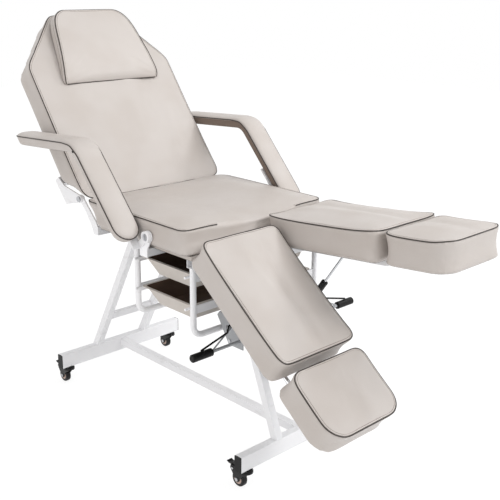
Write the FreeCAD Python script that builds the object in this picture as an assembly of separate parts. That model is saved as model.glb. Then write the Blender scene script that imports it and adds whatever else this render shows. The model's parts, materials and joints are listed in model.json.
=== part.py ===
# Tattoo chair with a reclining back, lifting arms, two split leg rests and two trays.
# Millimetres, +Z up, the feet point to -Y and the sitter's right is -X. The pieces are moved
# at the end so that the origin lies on the floor, below the middle of the whole chair.
import FreeCAD, Part
import math
import os

V = FreeCAD.Vector
X_AXIS = V(1, 0, 0)
Y_AXIS = V(0, 1, 0)
Z_AXIS = V(0, 0, 1)
SIDES = {"right": -1, "left": 1}

# Fits
RUNNING_FIT = 0.05      # radial play of a pin in its bore
SOFT_GAP = 0.3          # room between a cushion and a piece of another body
OVERRUN = 1.0           # how far a cutting tool runs past the face that it cuts

# Where the chair's middle lies in this drawing, which counts y from near the seat's middle
MIDDLE_Y = -6.1

# Base
CASTER_HEIGHT = 70.0    # floor to the underside of the base beams
BEAM_HEIGHT = 52.0
BEAM_DEPTH = 28.0
BEAM_LENGTH = 540.0
CASTER_EDGE = 33.0      # from a beam's end in to its caster
BEAM_WALL = 2.0
BEAM_EDGE_RADIUS = 3.0
FRONT_BEAM_Y = -371.0
REAR_BEAM_Y = 585.0
CAP_THICKNESS = 2.0
CAP_PLUG_DEPTH = 14.0
CENTRE_TUBE = 25.0
CENTRE_TUBE_Z = 103.0
LEG_TUBE = 25.0
LEG_WALL = 1.5
REAR_LEG_X = 105.0
FRONT_LEG_X = 112.0
LEG_CROSSBAR_Z = 250.0
LEG_CROSSBAR_HEIGHT = 24.0
LEG_CROSSBAR_DEPTH = 16.0

# Seat
SEAT_HALF_WIDTH = 299.0
SEAT_BOTTOM_Z = 682.0
SEAT_THICKNESS = 78.0
SEAT_FRONT_Y = -167.0
SEAT_FRONT_FOOT_Y = -180.0
SEAT_REAR_Y = 333.0
SEAT_REAR_FOOT_Y = 274.0
SEAT_CORNER_RADIUS = 34.0
SEAT_SCOOP = 15.0       # how far the middle of the seat lies below its sides
SEAT_SCOOP_WIDTH = 430.0
BOARD_THICKNESS = 12.0
BOARD_INSET = 22.0
RAIL_TUBE = 25.0
RAIL_WALL = 1.5
FRONT_RAIL_Y = -166.0
ARM_RAIL_Y = 12.0
TRAY_RAIL_Y = 102.0
REAR_RAIL_Y = 300.0
ARM_RAIL_HALF_LENGTH = 300.5

# Cushions
PIPING_EDGE = 5.0       # how far a cushion's bottom edge is rounded in
SIDE_DRAW = 5.0         # how far the sides are drawn in between their edges
CROWN = 9.0             # rise of a cushion's face above its piping
CROWN_SHOULDER = 22.0
CROWN_FLAT = 62.0
CROWN_SHOULDER_SHARE = 0.62
DRAW_LEVEL_SHARE = 0.5
LEAST_RADIUS_SHARE = 0.35
QUARTER_TURN_DEG = 90.0
FULL_TURN_DEG = 360.0

# Back
BACK_ANGLE_DEG = 53.0
BACK_ORIGIN_Y = 374.0
BACK_ORIGIN_Z = 805.0
BACK_HALF_WIDTH = 295.0
BACK_TOP_HALF_WIDTH = 134.0
BACK_FOOT = 60.0        # from the back's origin down to its lower front edge
BACK_SHOULDER = 443.0   # from the back's origin up to the shoulders
BACK_TOP = 640.0
BACK_THICKNESS = 90.0
BACK_FOOT_RISE = 99.0   # how much higher the lower edge ends at the rear face
BACK_FOOT_RADIUS = 40.0
BACK_SHOULDER_RADIUS = 60.0
BACK_TOP_RADIUS = 45.0
BACK_HINGE_Y = 380.0
BACK_HINGE_Z = 750.0
HINGE_EYE_RADIUS = 13.0
HINGE_PLATE = 5.0
HINGE_PLATE_X = 280.0
HINGE_BOLT_RADIUS = 5.0
HINGE_BOLT_HEAD_RADIUS = 9.0
HINGE_BOLT_HEAD = 5.0
HINGE_PLATE_GAP = 0.5
BACK_TUBE = 25.0
BACK_RAIL_X = 150.0
BACK_RAIL_FOOT = 50.0
BACK_RAIL_TOP = 520.0
BACK_END_GAP = 2.0
RAIL_HALF_LENGTH = HINGE_PLATE_X - HINGE_PLATE_GAP - HINGE_PLATE

# Headrest pillow
PILLOW_FOOT = 352.0
PILLOW_TOP = 627.0
PILLOW_FOOT_HALF_WIDTH = 200.0
PILLOW_TOP_HALF_WIDTH = 154.0
PILLOW_THICKNESS = 42.0
PILLOW_STATION_SHARES = [0.0, 0.09, 0.32, 0.70, 0.92, 1.0]
PILLOW_HEIGHT_SHARES = [0.24, 0.56, 0.88, 1.0, 0.86, 0.50]
PILLOW_TUCK_SHARES = [0.03, 0.0, 0.0, 0.0, 0.03, 0.14]
PILLOW_ROUND_SHARE = 0.42

# Arms
ARM_PLATE = 4.0
ARM_SIDE_GAP = 1.5      # between the plate on the seat's side and the arm
ARM_INNER_X = ARM_RAIL_HALF_LENGTH + ARM_PLATE + ARM_SIDE_GAP
ARM_WIDTH = 86.0
ARM_TIP_Y = 598.0
ARM_TIP_Z = 941.4
ARM_BEND_Y = 240.0
ARM_BEND_Z = 963.0
ARM_END_Y = 8.6
ARM_END_Z = 708.7
ARM_BEND_RADIUS = 80.0
ARM_BAND = 29.0         # piping line down to the underside of the board
ARM_BOARD = 8.0
ARM_BOARD_INSET = 5.0
ARM_CROWN = 12.0
ARM_STATION_SHARES = [-1.0, -0.92, -0.74, -0.44, 0.0, 0.44, 0.74, 0.92, 1.0]
ARM_EDGE_DROP = 4.0     # how far the pad's rim lies below its piping line
ARM_PIVOT_Y = -10.9
ARM_PIVOT_Z = 712.1
ARM_RING_RADIUS = 18.0
ARM_BORE_RADIUS = 12.0
ARM_RING_LENGTH = 10.5
ARM_PIN_LENGTH = 6.0
ARM_PLATE_HALF_WIDTH = 18.0
ARM_STRAP = 5.0
ARM_STRAP_WIDTH = 30.0
ARM_STRAP_LENGTH = 170.0
ARM_WEB_HALF_WIDTH = 10.0
ARM_WEB_GAP = 1.0       # between the plate on the seat's side and the arm's ring

# Leg rests
KNEE_Y = -202.0
KNEE_Z = 680.0
LEG_REST_X = 155.0      # middle of one leg rest
RAISED_DEG = 5.0        # the left leg rest, as it stands in the rest pose
LOWERED_DEG = -38.6     # the right leg rest, as it stands in the rest pose
CALF_START = -11.0
CALF_LENGTH = 425.0
CALF_HALF_WIDTH = 148.0
CALF_RADIUS = 26.0
PAD_UNDERSIDE = -12.5   # underside of the pads, measured from the knee pin
PAD_THICKNESS = 90.0
PAD_LAST_EDGE = 4.0
KNEE_POCKET = 14.0
KNEE_POCKET_HALF_WIDTH = 96.0
FOOT_GAP = 10.0
FOOT_LENGTH = 216.0
FOOT_HALF_WIDTH = 144.0
FOOT_HEEL_RADIUS = 36.0
FOOT_TOE_RADIUS = 62.0
RIGHT_FOOT_DRAWN_OUT = 9.0
KNEE_PIN_RADIUS = 6.0
KNUCKLE_RADIUS = 10.0
KNUCKLE_LENGTH = 20.0
LUG_THICKNESS = 6.0
LUG_RADIUS = 9.0
LUG_OFFSET = 85.0
CALF_RAIL = 20.0
CALF_RAIL_WALL = 1.5
CALF_RAIL_OFFSET = 70.0
CALF_RAIL_START = 4.0
CALF_RAIL_END = 400.0
CALF_BRIDGE = 20.0
CALF_BRIDGE_AT = 225.0
CALF_END_BRIDGE_AT = 370.0
SLIDE_ROD_RADIUS = 6.5
SLIDE_ROD_ENGAGED = 190.0
SLIDE_ROD_LENGTH = 355.0
SLIDE_BUSH = 16.0       # length of the guide in the open end of each calf tube
FOOT_PLATE_WIDTH = 34.0
FOOT_PLATE_HALF_LENGTH = 100.0
FOOT_PLATE_EDGE = 24.0

# Leg gas springs
SPRING_X = 146.0
SPRING_FOOT_Y = -218.0
SPRING_FOOT_Z = 405.0
SPRING_HEAD_REACH = 201.0
SPRING_HEAD_DROP = 26.0
SPRING_RADIUS = 11.0
SPRING_CASE_LENGTH = 169.0
SPRING_BORE_RADIUS = 6.0
SPRING_END_WALL = 8.0
SPRING_ROD_RADIUS = 4.0
SPRING_ROD_LENGTH = 167.0
SPRING_EYE_RADIUS = 8.0
SPRING_EYE_HALF_WIDTH = 6.0
SPRING_PIN_RADIUS = 3.0
SPRING_HEAD_PIN_HALF_LENGTH = 9.0
CHEEK_GAP = 11.0
CHEEK = 3.0
CHEEK_LENGTH = 36.0

# Lever brackets and handles
BRACKET_SHEET = 3.0
BRACKET_OUTER_X = 165.0
BRACKET_REAR_Y = -162.0
BRACKET_REAR_Z = 474.0
BRACKET_TOP_Z = 486.0
BRACKET_TOP_FRONT_Y = -236.0
BRACKET_FRONT_Y = -276.0
BRACKET_FRONT_Z = 420.0
BRACKET_FOOT_Z = 392.0
BRACKET_FOOT_REAR_Y = -214.0
SLOT_RADIUS = 4.0
SLOT_Y = -206.0
SLOT_LOW_Z = 436.0
SLOT_HIGH_Z = 448.0
HANDLE_Y = -260.0
HANDLE_Z = 416.0
HANDLE_ROD_RADIUS = 5.0
GRIP_RADIUS = 12.0
GRIP_START_X = 272.0
GRIP_END_X = 349.0
GRIP_END_WALL = 4.0
EAR_WIDTH = 21.0
EAR_SHEET = 3.0
EAR_REAR_Y = -236.0
EAR_HALF_HEIGHT = 14.0
LEVER_PIVOT_X = 176.0
LEVER_PIVOT_Z = 470.0
LEVER_HUB_RADIUS = 7.0
LEVER_RADIUS = 3.0
LEVER_BEND_X = 192.0
LEVER_ELBOW_X = 212.0
LEVER_ELBOW_Z = 458.0
LEVER_TIP_X = 312.0
LEVER_PIN_RADIUS = 2.5
LEVER_REST_GAP = 0.5
STAY_RADIUS = 2.5
STAY_START_X = 180.0
STAY_START_Z = 458.5

# Tray rack
HANGER_TUBE_RADIUS = 9.5
HANGER_X = 262.0
HANGER_BOTTOM_Z = 430.0
HANGER_BEND_RADIUS = 34.0
CROSSBAR_HEIGHT = 25.0
CROSSBAR_THICKNESS = 4.0
UPPER_CROSSBAR_Z = 598.0
LOWER_CROSSBAR_Z = 500.0
TRAY_ROD_RADIUS = 4.0
TRAY_ROD_HALF_LENGTH = 282.0
UPPER_RIM_Z = 620.0
LOWER_RIM_Z = 522.0
TRAY_DEPTH = 53.0
TRAY_WALL = 2.0
TRAY_RIM_HALF_LENGTH = 260.0
TRAY_LIP = 9.0
TRAY_END_TAPER = 20.0
TRAY_FRONT_TAPER = 14.0
TRAY_REAR_TAPER = 40.0
TRAY_CORNER_RADIUS = 14.0
TRAY_ROD_OVERHANG = 3.0

# Casters
CASTER_X = BEAM_LENGTH / 2 - CASTER_EDGE
WHEEL_RADIUS = 25.0
WHEEL_WIDTH = 18.0
WHEEL_SHOULDER = 4.0
WHEEL_SHOULDER_SHARES = [(0.0, 1.0), (0.13, 0.5), (0.5, 0.13), (1.0, 0.0)]
HUB_RADIUS = 16.5
TRAIL = 27.5
AXLE_RADIUS = 3.0
AXLE_HEAD_RADIUS = 5.5
AXLE_HEAD = 3.0
FORK_GAP = 1.0
FORK_SHEET = 2.5
FORK_TOP_RADIUS = 21.0
FORK_TOP = 6.0
RACEWAY_HEIGHT = 6.0
SWIVEL_GAP = 0.3
KING_PIN_RADIUS = 4.0
STEM_RADIUS = 5.0
STEM_LENGTH = 26.0
STEM_NUT_RADIUS = 9.0
STEM_NUT = 8.0
FORK_FOOT_RADIUS = 9.0
FORK_NOSE = 14.0        # how far the side plates reach ahead of the swivel axis
FORK_NOSE_DROP = 12.0   # how low the plates still are at full width, below the fork's top
FORK_EAR_FRONT = -3.0   # the ears stand behind the swivel top, measured from the axle
FORK_EAR_REAR = 27.0
FORK_EAR_Z = 39.5
FORK_TAIL = 30.0
FORK_TAIL_Z = 29.0
PEDAL_PIVOT_Y = 5.0
PEDAL_PIVOT_Z = 33.0
PEDAL_PIN_RADIUS = 2.0
FORK_RIVET_Y = 20.0
FORK_RIVET_Z = 30.0
RIVET_RADIUS = 4.4
RIVET_HEAD = 1.5
PEDAL_SIDE_GAP = 0.6
PEDAL_SHOE_Z = 28.0     # underside of the shoe, measured from the axle
PEDAL_NECK_Z = 37.5
PEDAL_TIP_Y = 49.0
PEDAL_TOP_Z = 43.0
PEDAL_SHEET = 3.0


def block(low, high):
    """A box between two corners."""
    return Part.makeBox(high.x - low.x, high.y - low.y, high.z - low.z, low)


def rod(radius, start, end):
    """A round bar between two points."""
    way = end - start
    return Part.makeCylinder(radius, way.Length, start, way)


def span(side, inner, outer):
    """The low and high x of a stretch that lies inner to outer from the middle plane."""
    return sorted((side * inner, side * outer))


def prism_x(points, low_x, high_x):
    """A flat outline in the YZ plane, pushed along X."""
    corners = [V(low_x, y, z) for y, z in points]
    face = Part.Face(Part.makePolygon(corners + corners[:1]))
    return face.extrude(V(high_x - low_x, 0, 0))


def hollow_bar_x(low_x, high_x, y, z, size, wall):
    """A square tube along X, open at its ends."""
    half = size / 2
    outer = block(V(low_x, y - half, z - half), V(high_x, y + half, z + half))
    core = half - wall
    return outer.cut(block(V(low_x, y - core, z - core), V(high_x, y + core, z + core)))


def hollow_bar_y(x, low_y, high_y, z, size, wall):
    """A square tube along Y, open at its ends."""
    half = size / 2
    outer = block(V(x - half, low_y, z - half), V(x + half, high_y, z + half))
    core = half - wall
    return outer.cut(block(V(x - core, low_y, z - core), V(x + core, high_y, z + core)))


def placed(shape, origin, along_u, along_v):
    """Move a shape from its own u, v, w frame to the chair's frame."""
    along_w = along_u.cross(along_v)
    shape.Placement = FreeCAD.Placement(FreeCAD.Matrix(
        along_u.x, along_v.x, along_w.x, origin.x,
        along_u.y, along_v.y, along_w.y, origin.y,
        along_u.z, along_v.z, along_w.z, origin.z,
        0, 0, 0, 1))
    return shape


def outline(corners, inset, level):
    """A wire through rounded corners (u, v, radius), listed anticlockwise and drawn in by inset."""
    count = len(corners)
    points = [V(u, v, 0) for u, v, radius in corners]
    ways = [(points[(i + 1) % count] - points[i]).normalize() for i in range(count)]
    moved = []
    for i in range(count):
        before, after = ways[i - 1], ways[i]
        inward_before = V(-before.y, before.x, 0)
        inward_after = V(-after.y, after.x, 0)
        shift = (inward_before + inward_after) * (inset / (1 + inward_before.dot(inward_after)))
        moved.append(points[i] + shift)
    arcs = []
    for i in range(count):
        before, after = ways[i - 1], ways[i]
        half_turn = before.getAngle(after) / 2
        radius = max(corners[i][2] - inset, corners[i][2] * LEAST_RADIUS_SHARE)
        tangent = radius * math.tan(half_turn)
        to_centre = (after - before).normalize()
        middle = moved[i] + to_centre * (radius / math.cos(half_turn) - radius)
        arcs.append((moved[i] - before * tangent, middle, moved[i] + after * tangent))
    lift = V(0, 0, level)
    edges = []
    for i in range(count):
        start, middle, end = arcs[i]
        edges.append(Part.Arc(start + lift, middle + lift, end + lift).toShape())
        edges.append(Part.LineSegment(end + lift, arcs[(i + 1) % count][0] + lift).toShape())
    return Part.Wire(edges)


def cushion_levels(thickness, crown):
    """Inset and height of a cushion's cross sections, from its underside to its crown."""
    return [
        (PIPING_EDGE, 0),
        (0, PIPING_EDGE),
        (SIDE_DRAW, thickness * DRAW_LEVEL_SHARE),
        (0, thickness - PAD_LAST_EDGE),
        (PAD_LAST_EDGE, thickness),
        (CROWN_SHOULDER, thickness + crown * CROWN_SHOULDER_SHARE),
        (CROWN_FLAT, thickness + crown),
    ]


def cushion(corners_at, thickness, crown):
    """A crowned cushion with drawn-in sides; corners_at gives its corners at a height."""
    wires = [outline(corners_at(height), inset, height)
             for inset, height in cushion_levels(thickness, crown)]
    return Part.makeLoft(wires, True, True)


def mirrored_corners(half):
    """Close an outline from its right half, listed anticlockwise from the bottom."""
    return half + [(-u, v, radius) for u, v, radius in reversed(half)]


# The base: two cross beams, a centre tube and four sloping legs

BEAM_TOP_Z = CASTER_HEIGHT + BEAM_HEIGHT
BOARD_BOTTOM_Z = SEAT_BOTTOM_Z - BOARD_THICKNESS
RAIL_BOTTOM_Z = BOARD_BOTTOM_Z - RAIL_TUBE
RAIL_Z = BOARD_BOTTOM_Z - RAIL_TUBE / 2
CASTER_PLACES = {
    "front_right": (-CASTER_X, FRONT_BEAM_Y),
    "front_left": (CASTER_X, FRONT_BEAM_Y),
    "rear_right": (-CASTER_X, REAR_BEAM_Y),
    "rear_left": (CASTER_X, REAR_BEAM_Y),
}


def base_beam(y):
    """A hollow beam across the chair, drilled below for its two caster stems."""
    low = V(-BEAM_LENGTH / 2, y - BEAM_DEPTH / 2, CASTER_HEIGHT)
    high = V(BEAM_LENGTH / 2, y + BEAM_DEPTH / 2, BEAM_TOP_Z)
    bar = block(low, high)
    long_edges = [edge for edge in bar.Edges if abs(edge.tangentAt(0).x) > DRAW_LEVEL_SHARE]
    bar = bar.makeFillet(BEAM_EDGE_RADIUS, long_edges)
    wall = V(0, BEAM_WALL, BEAM_WALL)
    bar = bar.cut(block(low + wall, high - wall))
    for side in (-1, 1):
        below = V(side * CASTER_X, y, CASTER_HEIGHT - OVERRUN)
        above = below + V(0, 0, BEAM_WALL + OVERRUN + OVERRUN)
        bar = bar.cut(rod(STEM_RADIUS + RUNNING_FIT, below, above))
    return bar


def beam_end_caps():
    """Black plugs in the open ends of both beams."""
    caps = []
    for y in (FRONT_BEAM_Y, REAR_BEAM_Y):
        for side in (-1, 1):
            low_x, high_x = span(side, BEAM_LENGTH / 2, BEAM_LENGTH / 2 + CAP_THICKNESS)
            plate = block(V(low_x, y - BEAM_DEPTH / 2, CASTER_HEIGHT),
                          V(high_x, y + BEAM_DEPTH / 2, BEAM_TOP_Z))
            edges = [edge for edge in plate.Edges if abs(edge.tangentAt(0).x) > DRAW_LEVEL_SHARE]
            plate = plate.makeFillet(BEAM_EDGE_RADIUS, edges)
            low_x, high_x = span(side, BEAM_LENGTH / 2 - CAP_PLUG_DEPTH, BEAM_LENGTH / 2)
            depth = BEAM_DEPTH / 2 - BEAM_WALL
            plug = block(V(low_x, y - depth, CASTER_HEIGHT + BEAM_WALL),
                         V(high_x, y + depth, BEAM_TOP_Z - BEAM_WALL))
            caps.append(plate.fuse(plug))
    return Part.makeCompound(caps)


def base_centre_tube():
    """The square tube that ties the two beams together."""
    return hollow_bar_y(0, FRONT_BEAM_Y + BEAM_DEPTH / 2, REAR_BEAM_Y - BEAM_DEPTH / 2,
                        CENTRE_TUBE_Z, CENTRE_TUBE, LEG_WALL)


def leg_y(foot_y, top_y, z):
    """Where a leg's centre line is at a height."""
    return foot_y + (top_y - foot_y) * (z - BEAM_TOP_Z) / (RAIL_BOTTOM_Z - BEAM_TOP_Z)


def leg(x, foot_y, top_y):
    """A sloping square tube from a beam up to a seat rail, its ends cut level."""
    slope = math.hypot(top_y - foot_y, RAIL_BOTTOM_Z - BEAM_TOP_Z) / (RAIL_BOTTOM_Z - BEAM_TOP_Z)

    def shell(half):
        reach = half * slope
        return prism_x([(foot_y - reach, BEAM_TOP_Z), (foot_y + reach, BEAM_TOP_Z),
                        (top_y + reach, RAIL_BOTTOM_Z), (top_y - reach, RAIL_BOTTOM_Z)],
                       x - half, x + half)

    return shell(LEG_TUBE / 2).cut(shell(LEG_TUBE / 2 - LEG_WALL))


def rear_leg_crossbar():
    """The tube between the rear legs."""
    y = leg_y(REAR_BEAM_Y, REAR_RAIL_Y, LEG_CROSSBAR_Z)
    reach = REAR_LEG_X - LEG_TUBE / 2

    def bar(half_depth, half_height):
        return block(V(-reach, y - half_depth, LEG_CROSSBAR_Z - half_height),
                     V(reach, y + half_depth, LEG_CROSSBAR_Z + half_height))

    half_depth = LEG_CROSSBAR_DEPTH / 2
    half_height = LEG_CROSSBAR_HEIGHT / 2
    return bar(half_depth, half_height).cut(bar(half_depth - LEG_WALL, half_height - LEG_WALL))


# The seat: rails, board and cushion

def seat_frame_rails():
    """Four rails across the chair, with short rails between them above the front legs."""
    rails = []
    for y in (FRONT_RAIL_Y, TRAY_RAIL_Y, REAR_RAIL_Y):
        rails.append(hollow_bar_x(-RAIL_HALF_LENGTH, RAIL_HALF_LENGTH, y, RAIL_Z,
                                  RAIL_TUBE, RAIL_WALL))
    rails.append(hollow_bar_x(-ARM_RAIL_HALF_LENGTH, ARM_RAIL_HALF_LENGTH, ARM_RAIL_Y, RAIL_Z,
                              RAIL_TUBE, RAIL_WALL))
    half = RAIL_TUBE / 2
    rows = [FRONT_RAIL_Y, ARM_RAIL_Y, TRAY_RAIL_Y, REAR_RAIL_Y]
    for x in (-FRONT_LEG_X, FRONT_LEG_X):
        for i in range(len(rows) - 1):
            rails.append(hollow_bar_y(x, rows[i] + half, rows[i + 1] - half, RAIL_Z,
                                      RAIL_TUBE, RAIL_WALL))
    return Part.makeCompound(rails + knee_lugs())


def knee_lugs():
    """Plates on the front rail that hold the knee pins."""
    face_y = FRONT_RAIL_Y - RAIL_TUBE / 2
    lugs = []
    for middle in (-LEG_REST_X, LEG_REST_X):
        for offset in (-LUG_OFFSET, LUG_OFFSET):
            low_x = middle + offset - LUG_THICKNESS / 2
            high_x = low_x + LUG_THICKNESS
            plate = prism_x([(face_y, RAIL_BOTTOM_Z), (face_y, BOARD_BOTTOM_Z),
                             (KNEE_Y + LUG_RADIUS, KNEE_Z), (KNEE_Y, KNEE_Z + LUG_RADIUS),
                             (KNEE_Y - LUG_RADIUS, KNEE_Z)], low_x, high_x)
            eye = rod(LUG_RADIUS, V(low_x, KNEE_Y, KNEE_Z), V(high_x, KNEE_Y, KNEE_Z))
            hole = rod(KNEE_PIN_RADIUS, V(low_x - OVERRUN, KNEE_Y, KNEE_Z),
                       V(high_x + OVERRUN, KNEE_Y, KNEE_Z))
            lugs.append(plate.fuse(eye).cut(hole))
    return lugs


def knee_pins():
    """The pin that each leg rest turns on, held in its two lugs."""
    reach = LUG_OFFSET + LUG_THICKNESS / 2
    return Part.makeCompound([rod(KNEE_PIN_RADIUS, V(middle - reach, KNEE_Y, KNEE_Z),
                                  V(middle + reach, KNEE_Y, KNEE_Z))
                              for middle in (-LEG_REST_X, LEG_REST_X)])


def seat_board():
    """The board that the seat cushion is screwed to."""
    reach = SEAT_HALF_WIDTH - BOARD_INSET
    return block(V(-reach, FRONT_RAIL_Y - RAIL_TUBE / 2 + SOFT_GAP, BOARD_BOTTOM_Z),
                 V(reach, SEAT_REAR_FOOT_Y - SOFT_GAP, SEAT_BOTTOM_Z))


def seat_cushion():
    """The seat, with a leaning rear face and a middle that is lower than its sides."""
    thickness = SEAT_THICKNESS

    def corners_at(height):
        share = min(height / thickness, 1)
        front = SEAT_FRONT_FOOT_Y + (SEAT_FRONT_Y - SEAT_FRONT_FOOT_Y) * share
        rear = SEAT_REAR_FOOT_Y + (SEAT_REAR_Y - SEAT_REAR_FOOT_Y) * share
        return mirrored_corners([(SEAT_HALF_WIDTH, front, SEAT_CORNER_RADIUS),
                                 (SEAT_HALF_WIDTH, rear, SEAT_CORNER_RADIUS)])

    pad = placed(cushion(corners_at, thickness, CROWN), V(0, 0, SEAT_BOTTOM_Z), X_AXIS, Y_AXIS)
    depth = SEAT_SCOOP
    radius = (SEAT_SCOOP_WIDTH * SEAT_SCOOP_WIDTH / (4 * depth) + depth) / 2
    centre_z = SEAT_BOTTOM_Z + thickness + CROWN - depth + radius
    scoop = rod(radius, V(0, SEAT_FRONT_FOOT_Y - OVERRUN, centre_z),
                V(0, SEAT_REAR_Y + OVERRUN, centre_z))
    return pad.cut(scoop)


def back_hinge_gussets():
    """Curved plates on the ends of the rear rail, up to the back's hinge bolts."""
    half = RAIL_TUBE / 2
    thickness = HINGE_PLATE
    eye = HINGE_EYE_RADIUS
    plates = []
    for side in (-1, 1):
        low_x, high_x = span(side, HINGE_PLATE_X - HINGE_PLATE_GAP - thickness,
                             HINGE_PLATE_X - HINGE_PLATE_GAP)
        rise = (BACK_HINGE_Z - BOARD_BOTTOM_Z) / 4
        plate = prism_x([
            (REAR_RAIL_Y - half, RAIL_BOTTOM_Z),
            (REAR_RAIL_Y + half, RAIL_BOTTOM_Z),
            (REAR_RAIL_Y + half + eye / 2, RAIL_BOTTOM_Z + rise),
            (REAR_RAIL_Y + half + eye * 3, BACK_HINGE_Z - rise * 2),
            (BACK_HINGE_Y + eye, BACK_HINGE_Z),
            (BACK_HINGE_Y - eye / 2, BACK_HINGE_Z + eye * math.cos(math.radians(HINGE_LEAN_DEG))),
            (BACK_HINGE_Y - eye * 3, BACK_HINGE_Z - rise),
            (REAR_RAIL_Y, BOARD_BOTTOM_Z + rise),
            (REAR_RAIL_Y - half, BOARD_BOTTOM_Z)], low_x, high_x)
        plate = plate.fuse(rod(eye, V(low_x, BACK_HINGE_Y, BACK_HINGE_Z),
                               V(high_x, BACK_HINGE_Y, BACK_HINGE_Z)))
        hole = rod(HINGE_BOLT_RADIUS, V(low_x - OVERRUN, BACK_HINGE_Y, BACK_HINGE_Z),
                   V(high_x + OVERRUN, BACK_HINGE_Y, BACK_HINGE_Z))
        plates.append(plate.cut(hole))
    return Part.makeCompound(plates)


def hinge_bolts():
    """The bolts that the back turns on, their heads outside its hinge plates."""
    bolts = []
    for side in (-1, 1):
        inner = HINGE_PLATE_X - HINGE_PLATE_GAP - HINGE_PLATE
        outer = HINGE_PLATE_X + HINGE_PLATE + HINGE_PLATE_GAP
        shank = rod(HINGE_BOLT_RADIUS, V(side * (inner - HINGE_BOLT_HEAD), BACK_HINGE_Y, BACK_HINGE_Z),
                    V(side * outer, BACK_HINGE_Y, BACK_HINGE_Z))
        head = rod(HINGE_BOLT_HEAD_RADIUS, V(side * outer, BACK_HINGE_Y, BACK_HINGE_Z),
                   V(side * (outer + HINGE_BOLT_HEAD), BACK_HINGE_Y, BACK_HINGE_Z))
        nut = rod(HINGE_BOLT_HEAD_RADIUS, V(side * (inner - HINGE_BOLT_HEAD), BACK_HINGE_Y, BACK_HINGE_Z),
                  V(side * inner, BACK_HINGE_Y, BACK_HINGE_Z))
        bolts.append(shank.fuse([head, nut]))
    return Part.makeCompound(bolts)


# The tray rack: bent hangers, flat crossbars, rods and two trays that slide to the side

def tray_hanger(y):
    """One round tube, bent into a U below the seat."""
    bend = HANGER_BEND_RADIUS
    low_z = HANGER_BOTTOM_Z

    def bent_bar(radius):
        pieces = [rod(radius, V(bend - HANGER_X, y, low_z), V(HANGER_X - bend, y, low_z))]
        for side in (-1, 1):
            x = side * HANGER_X
            pieces.append(rod(radius, V(x, y, low_z + bend), V(x, y, RAIL_BOTTOM_Z)))
            ring = Part.Face(Part.Wire(Part.makeCircle(radius, V(x, y, low_z + bend), Z_AXIS)))
            middle = V(x - side * bend, y, low_z + bend)
            pieces.append(ring.revolve(middle, V(0, side, 0), QUARTER_TURN_DEG))
        return pieces[0].fuse(pieces[1:]).removeSplitter()

    return bent_bar(HANGER_TUBE_RADIUS).cut(bent_bar(HANGER_TUBE_RADIUS - RAIL_WALL))


def tray_crossbars():
    """Flat bars across the hangers; the upper front one is let in between the front legs."""
    reach = HANGER_X - HANGER_TUBE_RADIUS
    gap_low = FRONT_LEG_X - LEG_TUBE / 2
    gap_high = FRONT_LEG_X + LEG_TUBE / 2
    half = CROSSBAR_THICKNESS / 2
    bars = []
    for y, z, stretches in (
            (FRONT_RAIL_Y, UPPER_CROSSBAR_Z,
             [(-reach, -gap_high), (-gap_low, gap_low), (gap_high, reach)]),
            (FRONT_RAIL_Y, LOWER_CROSSBAR_Z, [(-reach, reach)]),
            (TRAY_RAIL_Y, UPPER_CROSSBAR_Z, [(-reach, reach)]),
            (TRAY_RAIL_Y, LOWER_CROSSBAR_Z, [(-reach, reach)])):
        for low_x, high_x in stretches:
            bars.append(block(V(low_x, y - half, z), V(high_x, y + half, z + CROSSBAR_HEIGHT)))
    return Part.makeCompound(bars)


def tray_rod_rows():
    """The y of the front and rear tray rods, which touch the inside of the hangers."""
    shift = HANGER_TUBE_RADIUS + TRAY_ROD_RADIUS
    return FRONT_RAIL_Y + shift, TRAY_RAIL_Y - shift


def tray_rods():
    """Round rods along X that the lips of the trays rest and slide on."""
    rods = []
    for rim_z in (UPPER_RIM_Z, LOWER_RIM_Z):
        z = rim_z - TRAY_WALL - TRAY_ROD_RADIUS
        for y in tray_rod_rows():
            rods.append(rod(TRAY_ROD_RADIUS, V(-TRAY_ROD_HALF_LENGTH, y, z),
                            V(TRAY_ROD_HALF_LENGTH, y, z)))
    return Part.makeCompound(rods)


def tray(rim_z):
    """A tray with sloping walls, an open top and a lip all round."""
    front_row, rear_row = tray_rod_rows()
    lip_low_y = front_row - TRAY_ROD_OVERHANG
    lip_high_y = rear_row + TRAY_ROD_OVERHANG
    lip = TRAY_LIP

    def level(z, grow):
        share = (rim_z - z) / TRAY_DEPTH
        reach = TRAY_RIM_HALF_LENGTH - lip - TRAY_END_TAPER * share + grow
        low_y = lip_low_y + lip + TRAY_FRONT_TAPER * share - grow
        high_y = lip_high_y - lip - TRAY_REAR_TAPER * share + grow
        radius = TRAY_CORNER_RADIUS
        corners = [(-reach, low_y, radius), (reach, low_y, radius),
                   (reach, high_y, radius), (-reach, high_y, radius)]
        return outline(corners, 0, z)

    bottom_z = rim_z - TRAY_DEPTH
    shell = Part.makeLoft([level(bottom_z, 0), level(rim_z, 0)], True, True)
    hollow = Part.makeLoft([level(bottom_z + TRAY_WALL, -TRAY_WALL),
                            level(rim_z + TRAY_WALL, -TRAY_WALL)], True, True)
    plate = Part.Face(level(rim_z - TRAY_WALL, lip)).extrude(V(0, 0, TRAY_WALL))
    return shell.fuse(plate).cut(hollow)


# The back: frame, hinge plates, board and cushion, all in the back's own frame

BACK_TILT = math.radians(BACK_ANGLE_DEG)
BACK_ORIGIN = V(0, BACK_ORIGIN_Y, BACK_ORIGIN_Z)
BACK_UP = V(0, math.cos(BACK_TILT), math.sin(BACK_TILT))
BACK_OUT = V(0, -math.sin(BACK_TILT), math.cos(BACK_TILT))
HINGE_LEAN_DEG = math.degrees(math.atan2(BACK_THICKNESS, BACK_FOOT_RISE)) - BACK_ANGLE_DEG


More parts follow.
